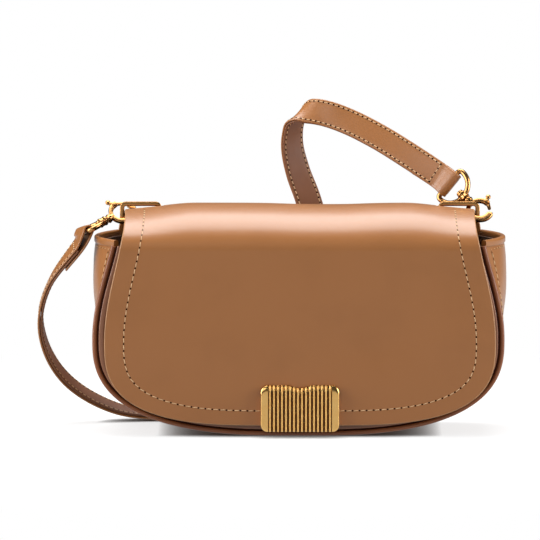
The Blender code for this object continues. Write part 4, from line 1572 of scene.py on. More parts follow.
@dataclass
class Closure:
    """The flap's lining, and the ribbed plate with its thumb dip."""

    shell: Shell
    flap: FlapForm
    width: float = 47.2 * MM
    height: float = 28.0 * MM
    centre: float = 17.6 * MM
    corner: float = 4.2 * MM
    seat: float = -43.1 * MM
    deep: float = 3.9 * MM
    groove: float = 2.0 * MM
    dark_fill: float = 0.75 * MM
    ribs: int = 16
    rib_share: float = 0.68
    rib_power: int = 5
    end_flat: float = 4.4 * MM
    round_over: float = 0.9 * MM
    roll_height: float = 3.8 * MM
    roll_drop: float = 1.7 * MM
    dip_width: float = 13.2 * MM
    dip_depth: float = 1.6 * MM
    least_proud: float = 0.1 * MM
    foot_steps: int = 5
    face_rows: int = 16
    face_rows_kept: int = 12
    rib_steps: int = 14
    end_steps: int = 10
    shade_sheet_columns: int = 80
    shade_sheet_sink: float = 0.2 * MM
    shade_sheet_thickness: float = 0.3 * MM
    lining: float = 0.8 * MM
    lining_front: float = -39.8 * MM
    lining_crest: float = 133.9 * MM
    lining_inset: float = 1.0 * MM
    lining_start: float = 0.13
    lining_columns: int = 110
    smooth: float = 50.0

    @property
    def back(self) -> float:
        """How far the far edge of the plate's turned rim stands in front of its seat."""
        return self.deep / 3

    def build_lining(self) -> None:
        """The thin calf behind the flap's leather."""
        rows = self.flap.rows(self.lining_front, self.lining_crest, self.lining_inset,
                              self.lining_start)
        sheet = row_sheet("flap_lining_leather", rows, self.lining_columns, self.flap.drape)
        thicken(sheet, self.lining)
        dress(sheet, CALF_LINING, "flap", ["flap_lining"])

    def column_ends(self, x: float) -> tuple[float, float]:
        """The plate's lowest and highest place in a column.

        Args:
            x: the column's place.

        Returns:
            The two heights.
        """
        half = self.width / 2
        past = max(0.0, abs(x) - (half - self.corner))
        lost = self.corner - sqrt(max(0.0, self.corner**2 - past**2))
        low = self.centre - self.height / 2 + lost
        high = self.centre + self.height / 2 - lost
        if abs(x) < self.dip_width / 2:
            high -= self.dip_depth * sin(pi * (x / self.dip_width + 0.5))
        return low, high

    def face_depth(self, x: float) -> float:
        """How far the plate's face stands out at a place across.

        Args:
            x: the place.

        Returns:
            The depth from the plate's seat.
        """
        right = self.width / 2 - self.end_flat
        if abs(x) >= right:
            return self.deep
        rib = 2 * right / self.ribs
        share = abs(2 * (((x + right) / rib) % 1.0) - 1)
        crown = max(0.0, 1 - min(1.0, share / self.rib_share) ** self.rib_power)
        return self.deep - self.groove * (1 - sqrt(crown))

    def heights(self) -> list[tuple[float, bool]]:
        """Places up the plate, each measured from its foot or, where true, from its top.

        Returns:
            (distance, whether from the top) pairs, from the foot up.
        """
        made = [(self.round_over * (1 - cos(turn)), False)
                for turn in arc(pi / 2, self.foot_steps)]
        made += [(self.height * k / self.face_rows, False)
                 for k in range(1, self.face_rows_kept + 1)]
        return made + [(self.roll_height * (1 - sin(turn)), True)
                       for turn in arc(pi / 2, self.end_steps)]

    def front(self, x: float, height: tuple[float, bool], depth: float) -> Vector:
        """A point of the plate's face, rolled back at its foot, ends and top.

        Args:
            x: the place across.
            height: one of the places up the plate.
            depth: how far the face stands out here before it is rolled.

        Returns:
            The point.
        """
        low, high = self.column_ends(x)
        z = high - height[0] if height[1] else low + height[0]
        end = self.width / 2 - abs(x)
        roll = min(1.0, max(0.0, 1 - (high - z) / self.roll_height))
        fall = self.roll_drop * (1 - sqrt(1 - roll**2))
        for near in (z - low, end):
            lost = min(self.round_over, max(0.0, self.round_over - near))
            fall = max(fall, self.round_over - sqrt(self.round_over**2 - lost**2))
        return Vector((x, self.seat - max(depth - fall, self.back + self.least_proud), z))

    def build_plate(self) -> None:
        """The ribbed plate: rib by rib across, with a dark sheet of painted shade down in
        its grooves.
        """
        half = self.width / 2
        right = half - self.end_flat
        ends = [-half + self.corner * (1 - cos(turn))
                for turn in arc(pi / 2, self.end_steps)]
        count = self.ribs * self.rib_steps
        spots = ends + [mix(-right, right, k / count) for k in range(count + 1)]
        spots += [-x for x in reversed(ends)]
        inner = self.heights()
        heights = [inner[0]] + inner + [inner[-1]]

        def place(column: int, row: int) -> Vector:
            """A point of the face, or of the edge that runs round it.

            Args:
                column: the place across.
                row: the place up.

            Returns:
                The point.
            """
            x = spots[column]
            point = self.front(x, heights[row], self.face_depth(x))
            if row in (0, len(heights) - 1) or column in (0, len(spots) - 1):
                point.y = self.seat - self.back
            return point

        plate = mapped_grid("clasp_plate_cast", len(spots) - 1, len(heights) - 1, place)
        with editing(plate):
            pick_open_edges()
            extrude(self.back * BACKWARD)
            bpy.ops.mesh.edge_face_add()
        # The plate wears the lighter copy of the gold: painted light.
        dress(plate, GOLD_LIT, "flap", ["clasp_plate"], smooth=self.smooth)

        inner = inner[1:-1]
        fill = self.deep - self.groove + self.dark_fill

        def low(column: int, row: int) -> Vector:
            """A point of the sheet of painted shade, down in the grooves.

            Args:
                column: the place across.
                row: the place up.

            Returns:
                The point.
            """
            x = mix(-right, right, column / self.shade_sheet_columns)
            return self.front(x, inner[row], fill) + self.shade_sheet_sink * BACKWARD

        # A dark sheet of painted shade lies down in the grooves.
        shade_sheet = mapped_grid("clasp_groove_shade", self.shade_sheet_columns, len(inner) - 1, low)
        thicken(shade_sheet, self.shade_sheet_thickness)
        dress(shade_sheet, GROOVE_SHADE, "flap", smooth=self.smooth)

    def build(self) -> None:
        """Build the flap's lining and its plate, and dress the hidden snap."""
        self.build_lining()
        self.build_plate()
        for node, finish in (("flap_magnet", GOLD), ("body_magnet", GOLD),
                             ("clasp_washer", STEEL), ("snap_washer", STEEL),
                             ("base_stiffener", BOARD)):
            dress_node(node, finish)


def dress_node(name: str, finish: Finish) -> None:
    """Give a carried-over node its finish.

    Args:
        name: the node's name.
        finish: what it is dressed in.
    """
    node = bpy.data.objects[name]
    if not node.material_slots:
        node.data.materials.append(finish.material())
    for slot in node.material_slots:
        slot.material = finish.material()


# ---------------------------------------------------------------- hardware


# Turned forms as (radius, height) in millimetres, from one end to the other.
NECK = ((1.7, 6.0), (1.9, 7.4), (2.5, 8.4), (2.75, 9.0), (2.75, 9.5), (2.35, 9.9),
        (2.35, 10.3), (2.1, 10.6))
RIVET = ((0.55, -1.95), (1.15, -1.9), (1.3, -1.65), (1.3, -1.42), (0.62, -1.4),
         (0.62, 1.4), (1.3, 1.42), (1.3, 1.65), (1.15, 1.9), (0.55, 1.95))
EYE_CUT = ((1.0, -2), (1.0, 2))
THUMB_PAD = ((0.5, -0.95), (1.05, -0.85), (1.45, -0.5), (1.55, 0.0), (1.45, 0.5),
             (1.05, 0.85), (0.5, 0.95))
BLOCK = ((2.2, 0.0), (2.75, 0.25), (2.9, 0.6), (2.9, 1.2), (2.6, 1.6), (2.6, 3.4),
         (2.9, 3.8), (2.9, 4.4), (2.75, 4.75), (2.2, 5.0))
BORE = ((1.5, -2), (1.5, 7))
PIN = ((1.2, -1.7), (1.9, -1.55), (2.25, -1.2), (2.3, -0.8), (2.3, -0.35), (1.2, -0.3),
       (1.2, 5.4))


def bow(middle: Vector, out: Vector, side: Vector, radius: float,
        steps: int) -> list[Vector]:
    """Half a circle, from one side round the way out to the other.

    Args:
        middle: the circle's middle.
        out: the direction of its farthest point.
        side: the direction of its last point.
        radius: the circle's radius.
        steps: faces along it.

    Returns:
        The points in order.
    """
    return [middle + radius * (out * sin(turn) - side * cos(turn))
            for turn in arc(pi, steps)]


@dataclass
class Hardware:
    """Rings, snap hooks, gates, pins and D rings of one side."""

    side: Side
    ring_width: float = 25.0 * MM
    ring_x: float = 96.0 * MM
    wire: float = 1.25 * MM
    ring_rise: float = 11.5 * MM
    ring_settle: float = 0.8 * MM
    ring_wire: float = 1.35 * MM
    ring_corner: float = 2.4 * MM
    ring_round: float = 0.5 * MM
    ring_top: float = 137.0 * MM
    ring_plane: float = 4.0 * MM
    lean: float = radians(42.0)
    outer: float = 8.5 * MM
    hole: float = 5.3 * MM
    far_shift: float = 0.6 * MM
    thickness: float = 2.6 * MM
    nose: float = radians(-60.0)
    fork: float = radians(-4.0)
    fork_low: float = radians(-12)
    fork_high: float = radians(30)
    fork_margin: float = 2 * MM
    eye_angle: float = radians(10)
    tip_angle: float = radians(-50)
    knob_angle: float = radians(17)
    eye_start: float = radians(50)
    eye_span: float = radians(150)
    crescent_steps: int = 96
    crescent_round: float = 0.45
    nose_share: float = 0.55
    nose_step: float = 0.15
    corner_steps: int = 4
    edge_round: float = 0.15 * MM
    bow_steps: int = 14
    fine_sides: int = 24
    block_sides: int = 40
    wire_sides: int = 20
    leg_play: float = 1.0 * MM
    leg_offset: float = 1.2 * MM
    offset_angle: float = radians(160.0)
    neck_end: float = 10.6 * MM
    gate_thickness: float = 1.0 * MM
    gate_half: float = 1.0 * MM
    gate_length: float = 6.0 * MM
    eye_radius: float = 1.7 * MM
    knob_reach: float = 11.0 * MM
    knob: float = 1.5 * MM
    knob_share: float = 0.8
    elbow: float = 1.2
    block_length: float = 5.0 * MM
    d_wire: float = 1.6 * MM
    d_half: float = 10.7 * MM
    d_corner: float = 2.3 * MM
    d_reach: float = 13.0 * MM
    d_steps: int = 48
    bend_steps: int = 8
    seam_gap: float = 0.3 * MM
    neck_right: float = radians(133.0)
    neck_left: float = radians(213.3)

    def frame(self) -> Matrix:
        """The hook's frame: X and Y in its plane with Y along its neck, Z to the front.

        Returns:
            The frame's place in the bag.
        """
        neck = self.neck_right if self.side is Side.RIGHT else self.neck_left
        up = Vector((0, sin(self.lean), cos(self.lean)))
        across = Vector((1, 0, 0))
        front = across.cross(up)
        y_axis = cos(neck) * across + sin(neck) * up
        x_axis = y_axis.cross(front)
        sign = self.side.value
        crossing = Vector((sign * (self.ring_x + self.ring_width / 2 - self.wire),
                           self.ring_plane,
                           self.ring_top - self.ring_rise / 2 + sign * self.leg_play))
        off = self.leg_offset * (cos(self.offset_angle) * x_axis
                                 + sin(self.offset_angle) * y_axis)
        place = Matrix((x_axis, y_axis, front)).transposed().to_4x4()
        place.translation = crossing - off
        return place

    def bar_frame(self) -> Matrix:
        """The D ring's frame: origin on its bar, Y back towards the hook.

        Returns:
            The frame's place in the bag.
        """
        hook = self.frame()
        out = hook.to_3x3() @ BACKWARD
        if self.side is Side.RIGHT:
            front = (FORWARD - FORWARD.dot(out) * out).normalized()
            bar = front.cross(out)
        else:
            bar = (BACKWARD - BACKWARD.dot(out) * out).normalized()
            front = out.cross(bar)
        place = Matrix((bar, -out, front)).transposed().to_4x4()
        reach = self.neck_end + 2 * self.seam_gap + self.block_length / 2 + self.d_reach
        place.translation = hook.translation + out * reach
        return place

    def build_ring(self) -> None:
        """The rectangular ring, of squared wire."""
        across = self.ring_width - 2 * self.wire
        middle = self.ring_top - (self.ring_rise + self.ring_settle) / 2
        rise = self.ring_rise - self.ring_settle
        outline = soft_section(across / 2, rise / 2, self.ring_corner, self.bend_steps)
        points = [Vector((self.side.value * self.ring_x + x, self.ring_plane, middle + z))
                  for x, z in outline]
        ring = sweep("strap_ring_polished_" + self.side.word, points, BACKWARD,
                     soft_section(self.ring_wire, self.wire, self.ring_round), True)
        dress(ring, GOLD, "strap", ["strap_ring_" + self.side.word])

    def at(self, angle: float, radius: float) -> Vector:
        """A point of the hook's plane."""
        return Vector((radius * cos(angle), radius * sin(angle)))

    def build_hook(self) -> None:
        """The crescent body with its neck, forked where the gate turns, and its rivet."""
        place, word = self.frame(), self.side.word
        steps = self.crescent_steps
        start, end = self.fork, self.nose + 2 * pi
        base = soft_section(1.0, 1.0, self.crescent_round, self.corner_steps)

        def spot(column: int, row: int) -> Vector:
            """A point of the crescent, which narrows a little at its nose.

            Args:
                column: the place round the section.
                row: the place along the crescent.

            Returns:
                The point.
            """
            angle = mix(start, end, row / steps)
            out = self.outer - self.far_shift * sin(angle)
            middle, half = (out + self.hole) / 2, (out - self.hole) / 2
            a, b = base[column % len(base)]
            shrink = 1.0
            if row >= steps / 2:
                shrink = min(1.0, self.nose_share + self.nose_step * (steps - row))
            flat = self.at(angle, middle + a * half * shrink)
            return Vector((flat.x, flat.y, b * self.thickness / 2 * shrink))

        band = mapped_grid("hook_crescent_" + word, len(base), steps, spot)
        tidy_mesh(band, True)
        eye = self.at(self.eye_angle, (self.hole + self.outer) / 2)
        wide = self.gate_thickness / 2 + self.seam_gap
        near, far = self.hole - self.fork_margin, self.outer + self.fork_margin
        low, high = self.fork_low, self.fork_high
        sector = [self.at(low, near), self.at(low, far),
                  self.at((low + high) / 2, far + self.fork_margin / 4),
                  self.at(high, far), self.at(high, near)]
        cut(band, slab("fork_cut", sector, -wide, wide), "DIFFERENCE")
        neck = move_mesh(turned("hook_neck", NECK), Matrix.Rotation(-pi / 2, 4, "X"))
        cut(band, neck, "UNION")
        move_mesh(band, place)
        dress(band, GOLD, "hook_" + word, ["hook_body_" + word])

        rivet = turned("gate_rivet_turned_" + word, RIVET, self.fine_sides)
        move_mesh(rivet, place @ Matrix.Translation((eye.x, eye.y, 0)))
        dress(rivet, GOLD, "hook_" + word, ["gate_rivet_" + word])

    def build_gate(self) -> None:
        """The sprung gate: a thin lever from the nose to its thumb knob."""
        place, word = self.frame(), self.side.word
        eye = self.at(self.eye_angle, (self.hole + self.outer) / 2)
        tip = self.at(self.tip_angle, (self.hole + self.outer) / 2)
        along = (tip - eye).normalized()
        across = Vector((-along.y, along.x))
        knob = self.at(self.knob_angle, self.knob_reach)
        to_knob = (knob - eye).normalized()
        knob_side = Vector((-to_knob.y, to_knob.x))
        steps = self.bow_steps
        outline = bow(eye + along * (self.gate_length - self.gate_half), along, across,
                      self.gate_half, steps)
        outline.append(eye + across * self.gate_half * self.elbow
                       + to_knob * self.eye_radius)
        outline += bow(knob, to_knob, knob_side, self.knob * self.knob_share, steps)
        first = atan2(to_knob.y, to_knob.x) + self.eye_start
        outline += [eye + self.at(turn, self.eye_radius)
                    for turn in arc(self.eye_span, steps, first)]
        half = self.gate_thickness / 2
        lever = slab("hook_gate_lever_" + word, outline, -half, half)
        hole = turned("eye_cut", EYE_CUT)
        cut(lever, move_mesh(hole, Matrix.Translation((eye.x, eye.y, 0))), "DIFFERENCE")
        soften(lever, self.edge_round)
        pad = turned("knob_pad", THUMB_PAD, self.fine_sides)
        cut(lever, move_mesh(pad, Matrix.Translation((knob.x, knob.y, 0))), "UNION")
        move_mesh(lever, place)
        dress(lever, GOLD, "gate_" + word, ["hook_gate_" + word])

    def build_d_ring(self) -> None:
        """The D of wire with its bored block, and the headed pin that turns in it."""
        place, word = self.bar_frame(), self.side.word
        half, corner = self.d_half, self.d_corner
        bends = arc(pi / 2, self.bend_steps)
        flat = [(half - corner + corner * sin(t), corner - corner * cos(t)) for t in bends]
        flat += [(half * cos(t), corner + (self.d_reach - corner) * sin(t))
                 for t in arc(pi, self.d_steps)[1:-1]]
        flat += [(-half + corner - corner * cos(t), corner - corner * sin(t))
                 for t in bends]
        points = [Vector((x, y, 0)) for x, y in flat]
        ring = sweep("d_ring_wire_" + word, points, UP,
                     round_section(self.d_wire, self.wire_sides), True)
        low = self.d_reach - self.block_length / 2
        spin = Matrix.Rotation(-pi / 2, 4, "X") @ Matrix.Translation((0, 0, low))
        cut(ring, move_mesh(turned("swivel_block", BLOCK, self.block_sides), spin), "UNION")
        cut(ring, move_mesh(turned("bore", BORE), spin), "DIFFERENCE")
        move_mesh(ring, place)
        dress(ring, GOLD, "strap", ["d_ring_" + word])

        pin = turned("swivel_pin_turned_" + word, PIN)
        move_mesh(pin, place @ spin)
        dress(pin, GOLD, "hook_" + word, ["swivel_pin_" + word])

    def build(self) -> None:
        """Build this side's hardware."""
        self.build_ring()
        self.build_hook()
        self.build_gate()
        self.build_d_ring()


# ---------------------------------------------------------------- strap


# The strap's way from the right D ring to the left one: places as shares of the
# body's half width, the plane behind the bag and the ridge height, each with the
# direction that the strap's outer face looks.  Behind the bag it is a guess.
STRAP_WAY = (
    ((0.536, 0.594, 1.196), (-0.25, -0.90, 0.40)),
    ((0.392, 0.729, 1.273), (-0.15, -0.90, 0.42)),
    ((0.248, 0.833, 1.337), (-0.10, -0.93, 0.36)),
    ((0.131, 0.896, 1.374), (-0.12, -0.95, 0.28)),
    ((0.056, 0.948, 1.383), (-0.42, -0.76, 0.50)),
    ((0.005, 1.042, 1.371), (-0.72, -0.10, 0.69)),
    ((-0.023, 1.135, 1.331), (-0.70, 0.55, 0.46)),
    ((-0.036, 1.198, 1.277), (-0.70, 0.70, 0.14)),
    ((-0.036, 1.229, 1.207), (-0.62, 0.78, 0.00)),
    ((-0.007, 1.246, 1.096), (-0.48, 0.88, 0.00)),
    ((0.044, 1.215, 0.970), (-0.30, 0.95, 0.00)),
    ((0.088, 1.156, 0.801), (0.05, 1.00, 0.00)),
    ((0.098, 1.079, 0.601), (0.50, 0.86, 0.00)),
    ((0.049, 1.025, 0.394), (0.90, 0.42, -0.10)),
    ((-0.075, 1.000, 0.140), (0.75, 0.0, -0.65)),
    ((-0.260, 0.990, 0.022), (0.20, 0.0, -1.0)),
    ((-0.480, 0.960, 0.000), (0.0, 0.0, -1.0)),
    ((-0.720, 0.925, 0.000), (-0.05, 0.0, -1.0)),
    ((-0.905, 0.860, 0.036), (-0.30, 0.20, -0.95)),
    ((-1.069, 0.730, 0.112), (-0.62, 0.22, -0.78)),
    ((-1.186, 0.560, 0.213), (-0.85, 0.18, -0.52)),
    ((-1.260, 0.385, 0.345), (-0.97, 0.08, -0.20)),
    ((-1.280, 0.215, 0.487), (-1.0, 0.0, 0.05)),
    ((-1.225, 0.045, 0.650), (-0.93, 0.0, 0.35)),
)


@dataclass
class Strap:
    """The flat strap: face leather folded round both D rings, and its backing."""

    shell: Shell
    right: Hardware
    left: Hardware
    width: float = 16.0 * MM
    face: float = 1.4 * MM
    backing: float = 1.2 * MM
    gap: float = 0.3 * MM
    fold_ease: float = 0.3 * MM
    straight: float = 6.0 * MM
    lead: float = 10.0 * MM
    tail: float = 24.0 * MM
    behind: float = 48.0 * MM
    floor: float = 2.35 * MM
    dense: int = 14
    step: float = 1.5 * MM
    fold_steps: int = 16
    corner: float = 0.5 * MM
    corner_steps: int = 4
    corner_drop: float = 0.05 * MM
    crown_steps: int = 12
    groove: float = 0.14 * MM
    groove_half: float = 0.7 * MM
    backing_overlap: float = 0.25 * MM
    stitch_inset: float = 1.7 * MM
    stitch_start: float = 1 * MM
    stitch_pitch: float = 3.2 * MM
    stitch_length: float = 2.5 * MM
    cross_steps: int = 8
    inner_stitch_lift: float = 0.1 * MM
    smooth: float = 60.0
    left_way: tuple[float, float, float] = (-0.5, 0.0, -0.86)

    def __post_init__(self) -> None:
        """Work the plies' offsets out, and lay the way through its knots."""
        stack = self.face + self.gap + self.backing
        self.half_stack = stack / 2
        self.face_offset = (stack - self.face) / 2
        self.backing_offset = -(stack - self.backing) / 2
        self.tail_offset = stack / 2 + self.gap + self.fold_ease + self.face / 2
        self.points: list[Vector] = []
        self.faces: list[Vector] = []
        knots = self.knots()
        for here in range(1, len(knots) - 2):
            for k in range(self.dense):
                self.add_point(knots[here - 1 : here + 3], k / self.dense)
        self.points.append(knots[-2][0])
        self.faces.append(knots[-2][1])
        steps = [(b - a).length for a, b in zip(self.points, self.points[1:])]
        self.along = running(steps)
        self.length = self.along[-1]

    def knots(self) -> list[tuple[Vector, Vector]]:
        """The way's knots with one more beyond each end.

        Returns:
            (place, outer face's direction) pairs in order.
        """
        right, left = self.right.bar_frame(), self.left.bar_frame()
        turn = right.to_3x3()
        start, out, look = right.translation, turn @ FORWARD, turn.col[2]
        bar = left.to_3x3() @ Vector((1, 0, 0))
        down = Vector(self.left_way)
        away = (down - down.dot(bar) * bar).normalized()
        last_look = bar.cross(away)
        knots = [(start, look), (start + out * self.straight, look)]
        for (x, y, z), face in STRAP_WAY:
            place = Vector((x * self.shell.half_width, y * self.behind,
                            self.floor + z * (self.shell.ridge - self.floor)))
            knots.append((place, Vector(face).normalized()))
        end = left.translation
        knots += [(end + away * self.straight, last_look), (end, last_look)]
        first = (2 * knots[0][0] - knots[1][0], knots[0][1])
        last = (2 * knots[-1][0] - knots[-2][0], knots[-1][1])
        return [first] + knots + [last]

    def add_point(self, four: Sequence[tuple[Vector, Vector]], share: float) -> None:
        """Add one point of a centripetal curve through four knots.

        Args:
            four: the knots round the span.
            share: how far along the span.
        """
        times = running([sqrt((b - a).length) for (a, _), (b, _) in zip(four, four[1:])])
        t = mix(times[1], times[2], share)
        for which, store in ((0, self.points), (1, self.faces)):
            row = [k[which] for k in four]
            for reach in (1, 2):
                row = [
                    row[n].lerp(row[n + 1], (t - times[n]) / (times[n + reach] - times[n]))
                    for n in range(len(row) - 1)
                ]
            store.append(row[0].lerp(row[1], (t - times[1]) / (times[2] - times[1])))

    def at(self, distance: float) -> Station:
        """Place, outer face and width direction at a distance from the right bar.

        Args:
            distance: in metres along the strap's middle.

        Returns:
            The place, the face's direction and the width's direction.
        """
        here, share = span_at(self.along, min(self.length, max(0.0, distance)))
        point = self.points[here].lerp(self.points[here + 1], share)
        before = self.points[max(0, here - 1)]
        after = self.points[min(len(self.points) - 1, here + 2)]
        tangent = (after - before).normalized()
        face = self.faces[here].lerp(self.faces[here + 1], share)
        face = (face - face.dot(tangent) * tangent).normalized()
        return point, face, tangent.cross(face)

    def offset(self, distance: float, amount: float, flip: float = 1.0) -> Station:
        """A station of a ply that lies beside the strap's middle."""
        point, face, across = self.at(distance)
        return point + face * amount, face * flip, across

    def fold(self, distance: float, sign: int) -> list[Station]:
        """The half turn of the face leather round a bar.

        Args:
            distance: where the bar stands.
            sign: 1 at the right end, -1 at the left.

        Returns:
            The stations of the fold.
        """
        point, face, across = self.at(distance)
        tangent = face.cross(across) * sign
        ups = [face * cos(turn) - tangent * sin(turn)
               for turn in arc(pi, self.fold_steps)[1:-1]]
        return [(point + up * self.tail_offset, up, across) for up in ups]

    def face_stations(self) -> list[Station]:
        """The face leather from its right tail round both bars to its left tail.

        Returns:
            The stations of the ply.
        """
        count = round(self.length / self.step)
        spots = [self.length * k / count for k in range(count + 1)]
        tail = [s for s in spots if s <= self.tail]
        made = [self.offset(s, -self.tail_offset, -1) for s in reversed(tail)]
        made += self.fold(0.0, 1)[::-1]
        for s in spots:
            near = min(s, self.length - s)
            made.append(self.offset(s, mix(self.tail_offset, self.face_offset,
                                           ease(near / self.lead))))
        made += self.fold(self.length, -1)
        made += [self.offset(self.length - s, -self.tail_offset, -1) for s in tail]
        return made

    def ribbon(self, name: str, stations: Sequence[Station],
               thickness: float) -> bpy.types.Object:
        """A strap ply with rounded edges and creased stitch lines.

        Args:
            name: the piece's name.
            stations: places along the ply.
            thickness: the ply's thickness.

        Returns:
            The piece.
        """
        half, thick, corner = self.width / 2, thickness / 2, self.corner
        upper = []
        for k in range(self.corner_steps + 1):
            turn = pi * (k / self.corner_steps - 0.5)
            upper.append((half - corner + corner * cos(turn),
                          (thick - self.corner_drop) * sin(turn)))
        for k in range(1, self.crown_steps):
            a = mix(half - corner, -half + corner, k / self.crown_steps)
            sewn = abs(abs(a) - (half - self.stitch_inset)) < self.groove_half
            upper.append((a, thick - (self.groove if sewn else 0)))
        return loft(name, stations, upper + [(-a, -b) for a, b in upper])

    def build(self) -> None:
        """Build both plies and sew them."""
        face = self.ribbon("strap_face_leather", self.face_stations(), self.face)
        dress(face, CALF, "strap", ["strap_face"], smooth=self.smooth)
        count = round((self.length - 2 * self.lead) / self.step)
        spots = [mix(self.lead, self.length - self.lead, k / count)
                 for k in range(count + 1)]
        stations = [self.offset(s, self.backing_offset) for s in spots]
        back = self.ribbon("strap_backing_leather", stations,
                           self.backing + self.backing_overlap)
        dress(back, CALF_LINING, "strap", ["strap_backing"], smooth=self.smooth)
        self.build_stitches(count)

    def build_stitches(self, count: int) -> None:
        """The rows along both edges of each face, and one across each end.

        Args:
            count: steps along the strap.
        """
        inset = self.width / 2 - self.stitch_inset
        end = self.lead + self.stitch_start
        seam = Seam(pitch=self.stitch_pitch, length=self.stitch_length)
        spots = [mix(end, self.length - end, k / count) for k in range(count + 1)]
        for word, sign, high in (
            ("outer", 1, self.half_stack),
            ("inner", -1, self.half_stack + self.inner_stitch_lift),
        ):
            for edge in (-1, 1):
                path = []
                for s in spots:
                    point, look, across = self.at(s)
                    look = look * sign
                    path.append((point + look * high + across * inset * edge, look))
                name = "strap_stitches_%s_%s" % (word, "low" if edge < 0 else "high")
                seam.sew(name, path, "strap")
        for word, s in (("right", end), ("left", self.length - end)):
            point, look, across = self.at(s)
            point = point + look * self.half_stack
            path = [(point + across * mix(-inset, inset, k / self.cross_steps), look)
                    for k in range(self.cross_steps + 1)]
            seam.sew("strap_cross_stitches_" + word, path, "strap")


# ---------------------------------------------------------------- studio


# Each soft box: its name, place, width and height in metres, and watts.
SOFT_BOXES = (
    ("top_box", (-0.1, 0.35, 1.3), (1.2, 1.1), 24),
    ("front_box", (-0.7, -1.6, 1.0), (0.7, 0.7), 3.5),
    ("left_box", (-1.4, -0.35, 0.5), (0.9, 1.3), 25),
    ("right_box", (1.4, -0.35, 0.5), (0.9, 1.3), 25),
)


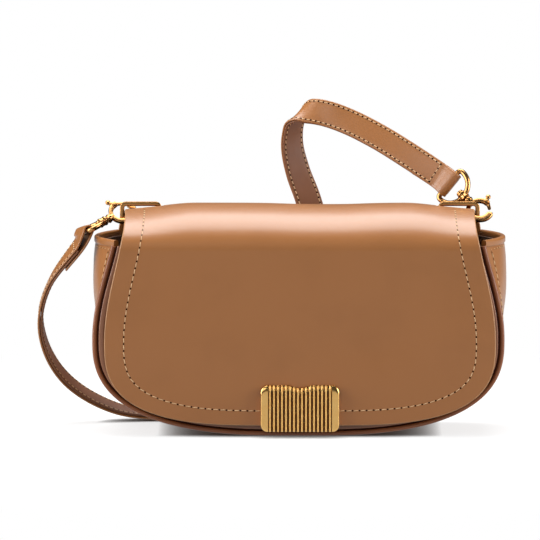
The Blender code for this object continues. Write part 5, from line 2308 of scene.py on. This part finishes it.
@dataclass
class Studio:
    """White floor, soft boxes, and the camera at the photograph's angle."""

    elevation: float = radians(6.0)
    distance: float = 6.0
    view_width: float = 0.324
    aim_x: float = -0.018
    aim_y: float = -0.036
    aim_z: float = 0.1002
    sensor: float = 36.0
    clip_end: float = 100
    floor_sides: int = 64
    floor_radius: float = 6
    floor_tone: str = "#8C8C8C"
    floor_glow: float = 0.70
    mirror_level: float = 0.70
    painted_shadow_reach: float = 9.0 * MM
    painted_shadow_power: float = 2.0
    fade_near: float = 0.20
    fade_far: float = 0.42
    gloss_level: float = 0.05
    fill_level: float = 0.55
    lamp_aim: float = 0.08

    def build_floor(self) -> None:
        """A wide pale floor that keeps the bag's shadow, with a painted contact shadow
        close under it.
        """
        bpy.ops.object.select_all(action="DESELECT")
        bpy.ops.mesh.primitive_circle_add(vertices=self.floor_sides, fill_type="NGON",
                                          radius=self.floor_radius, location=(0, 0, 0))
        floor = newest("studio_floor")
        made = bpy.data.materials.new("seamless white paper")
        made.use_nodes = True
        tree = made.node_tree
        tree.nodes.remove(tree.nodes["Principled BSDF"])
        matt = add(tree, "ShaderNodeBsdfDiffuse", {"Color": linear(self.floor_tone)}, {})
        # The paper's glow is painted darker where the bag stands close over it: a painted
        # contact shadow.
        near = add(tree, "ShaderNodeAmbientOcclusion",
                   {"Distance": self.painted_shadow_reach}, {})
        shade = add(tree, "ShaderNodeMath", {".operation": "POWER", 1: self.painted_shadow_power},
                    {0: near.outputs["AO"]})
        level = add(tree, "ShaderNodeMath", {".operation": "MULTIPLY", 1: self.floor_glow},
                    {0: shade.outputs[0]})
        glow = add(tree, "ShaderNodeEmission", {}, {"Strength": level.outputs[0]})
        lit = add(tree, "ShaderNodeAddShader", {}, {
            0: matt.outputs[0], 1: glow.outputs[0]})
        white = add(tree, "ShaderNodeEmission", {"Strength": 1.0}, {})
        where = add(tree, "ShaderNodeTexCoord", {}, {})
        far = add(tree, "ShaderNodeVectorMath", {".operation": "LENGTH"},
                  {0: where.outputs["Object"]})
        fade = add(tree, "ShaderNodeMapRange",
                   {".interpolation_type": "SMOOTHSTEP", "From Min": self.fade_near,
                    "From Max": self.fade_far}, {"Value": far.outputs["Value"]})
        paper = add(tree, "ShaderNodeMixShader", {}, {
            0: fade.outputs[0], 1: lit.outputs[0], 2: white.outputs[0]})
        way = add(tree, "ShaderNodeLightPath", {}, {})
        mirrored = add(tree, "ShaderNodeEmission", {"Strength": self.mirror_level}, {})
        rest = add(tree, "ShaderNodeMixShader", {}, {
            0: way.outputs["Is Glossy Ray"], 1: matt.outputs[0], 2: mirrored.outputs[0]})
        pick = add(tree, "ShaderNodeMixShader", {}, {
            0: way.outputs["Is Camera Ray"], 1: rest.outputs[0], 2: paper.outputs[0]})
        plug(tree, tree.nodes["Material Output"], {"Surface": pick.outputs[0]})
        floor.data.materials.append(made)

    def build_world(self) -> None:
        """White to the camera and through glass, dim in reflections, a plain soft fill
        elsewhere.
        """
        world = bpy.data.worlds.new("studio air")
        bpy.context.scene.world = world
        world.use_nodes = True
        tree = world.node_tree
        back = tree.nodes["Background"]
        back.inputs["Color"].default_value = linear("#FFFFFF")
        way = add(tree, "ShaderNodeLightPath", {}, {})
        seen = add(tree, "ShaderNodeMath", {".operation": "MAXIMUM"},
                   {0: way.outputs["Is Camera Ray"], 1: way.outputs["Is Transmission Ray"]})
        plain = add(tree, "ShaderNodeMath",
                    {".operation": "MULTIPLY_ADD", 1: self.gloss_level - self.fill_level,
                     2: self.fill_level}, {0: way.outputs["Is Glossy Ray"]})
        level = add(tree, "ShaderNodeMath", {".operation": "MAXIMUM"},
                    {0: seen.outputs[0], 1: plain.outputs[0]})
        plug(tree, back, {"Strength": level.outputs[0]})

    def build_lights(self) -> None:
        """The soft boxes, which all look at the bag's middle."""
        aim = Vector((0, 0, self.lamp_aim))
        for name, spot, size, watts in SOFT_BOXES:
            bpy.ops.object.light_add(type="AREA", location=spot)
            lamp = newest(name)
            way = aim - Vector(spot)
            lamp.rotation_euler = way.to_track_quat("-Z", "Y").to_euler()
            lamp.data.shape = "RECTANGLE"
            lamp.data.size, lamp.data.size_y = size
            lamp.data.energy = watts

    def build_camera(self) -> None:
        """A long lens, a little above level."""
        aim = Vector((self.aim_x, self.aim_y, self.aim_z))
        way = Vector((0, cos(self.elevation), -sin(self.elevation)))
        bpy.ops.object.camera_add(location=aim - way * self.distance)
        eye = newest("camera")
        eye.rotation_euler = way.to_track_quat("-Z", "Y").to_euler()
        eye.data.sensor_width = self.sensor
        eye.data.lens = self.sensor * self.distance / self.view_width
        eye.data.clip_end = self.clip_end
        bpy.context.scene.camera = eye

    def build(self) -> None:
        """Build the camera, the lights and the floor."""
        bpy.context.scene.view_settings.view_transform = "Standard"
        self.build_camera()
        self.build_world()
        self.build_floor()
        self.build_lights()


# ---------------------------------------------------------------- main


def main() -> None:
    """Dress the whole bag, from the studio to the strap."""
    logging.basicConfig(level=logging.INFO, format="%(name)s: %(message)s")
    Studio().build()
    shell = Shell()
    flap = FlapForm(shell)
    Body(shell, flap).build()
    Closure(shell, flap).build()
    right, left = Hardware(Side.RIGHT), Hardware(Side.LEFT)
    right.build()
    left.build()
    Strap(shell, right, left).build()


if __name__ == "__main__":
    main()
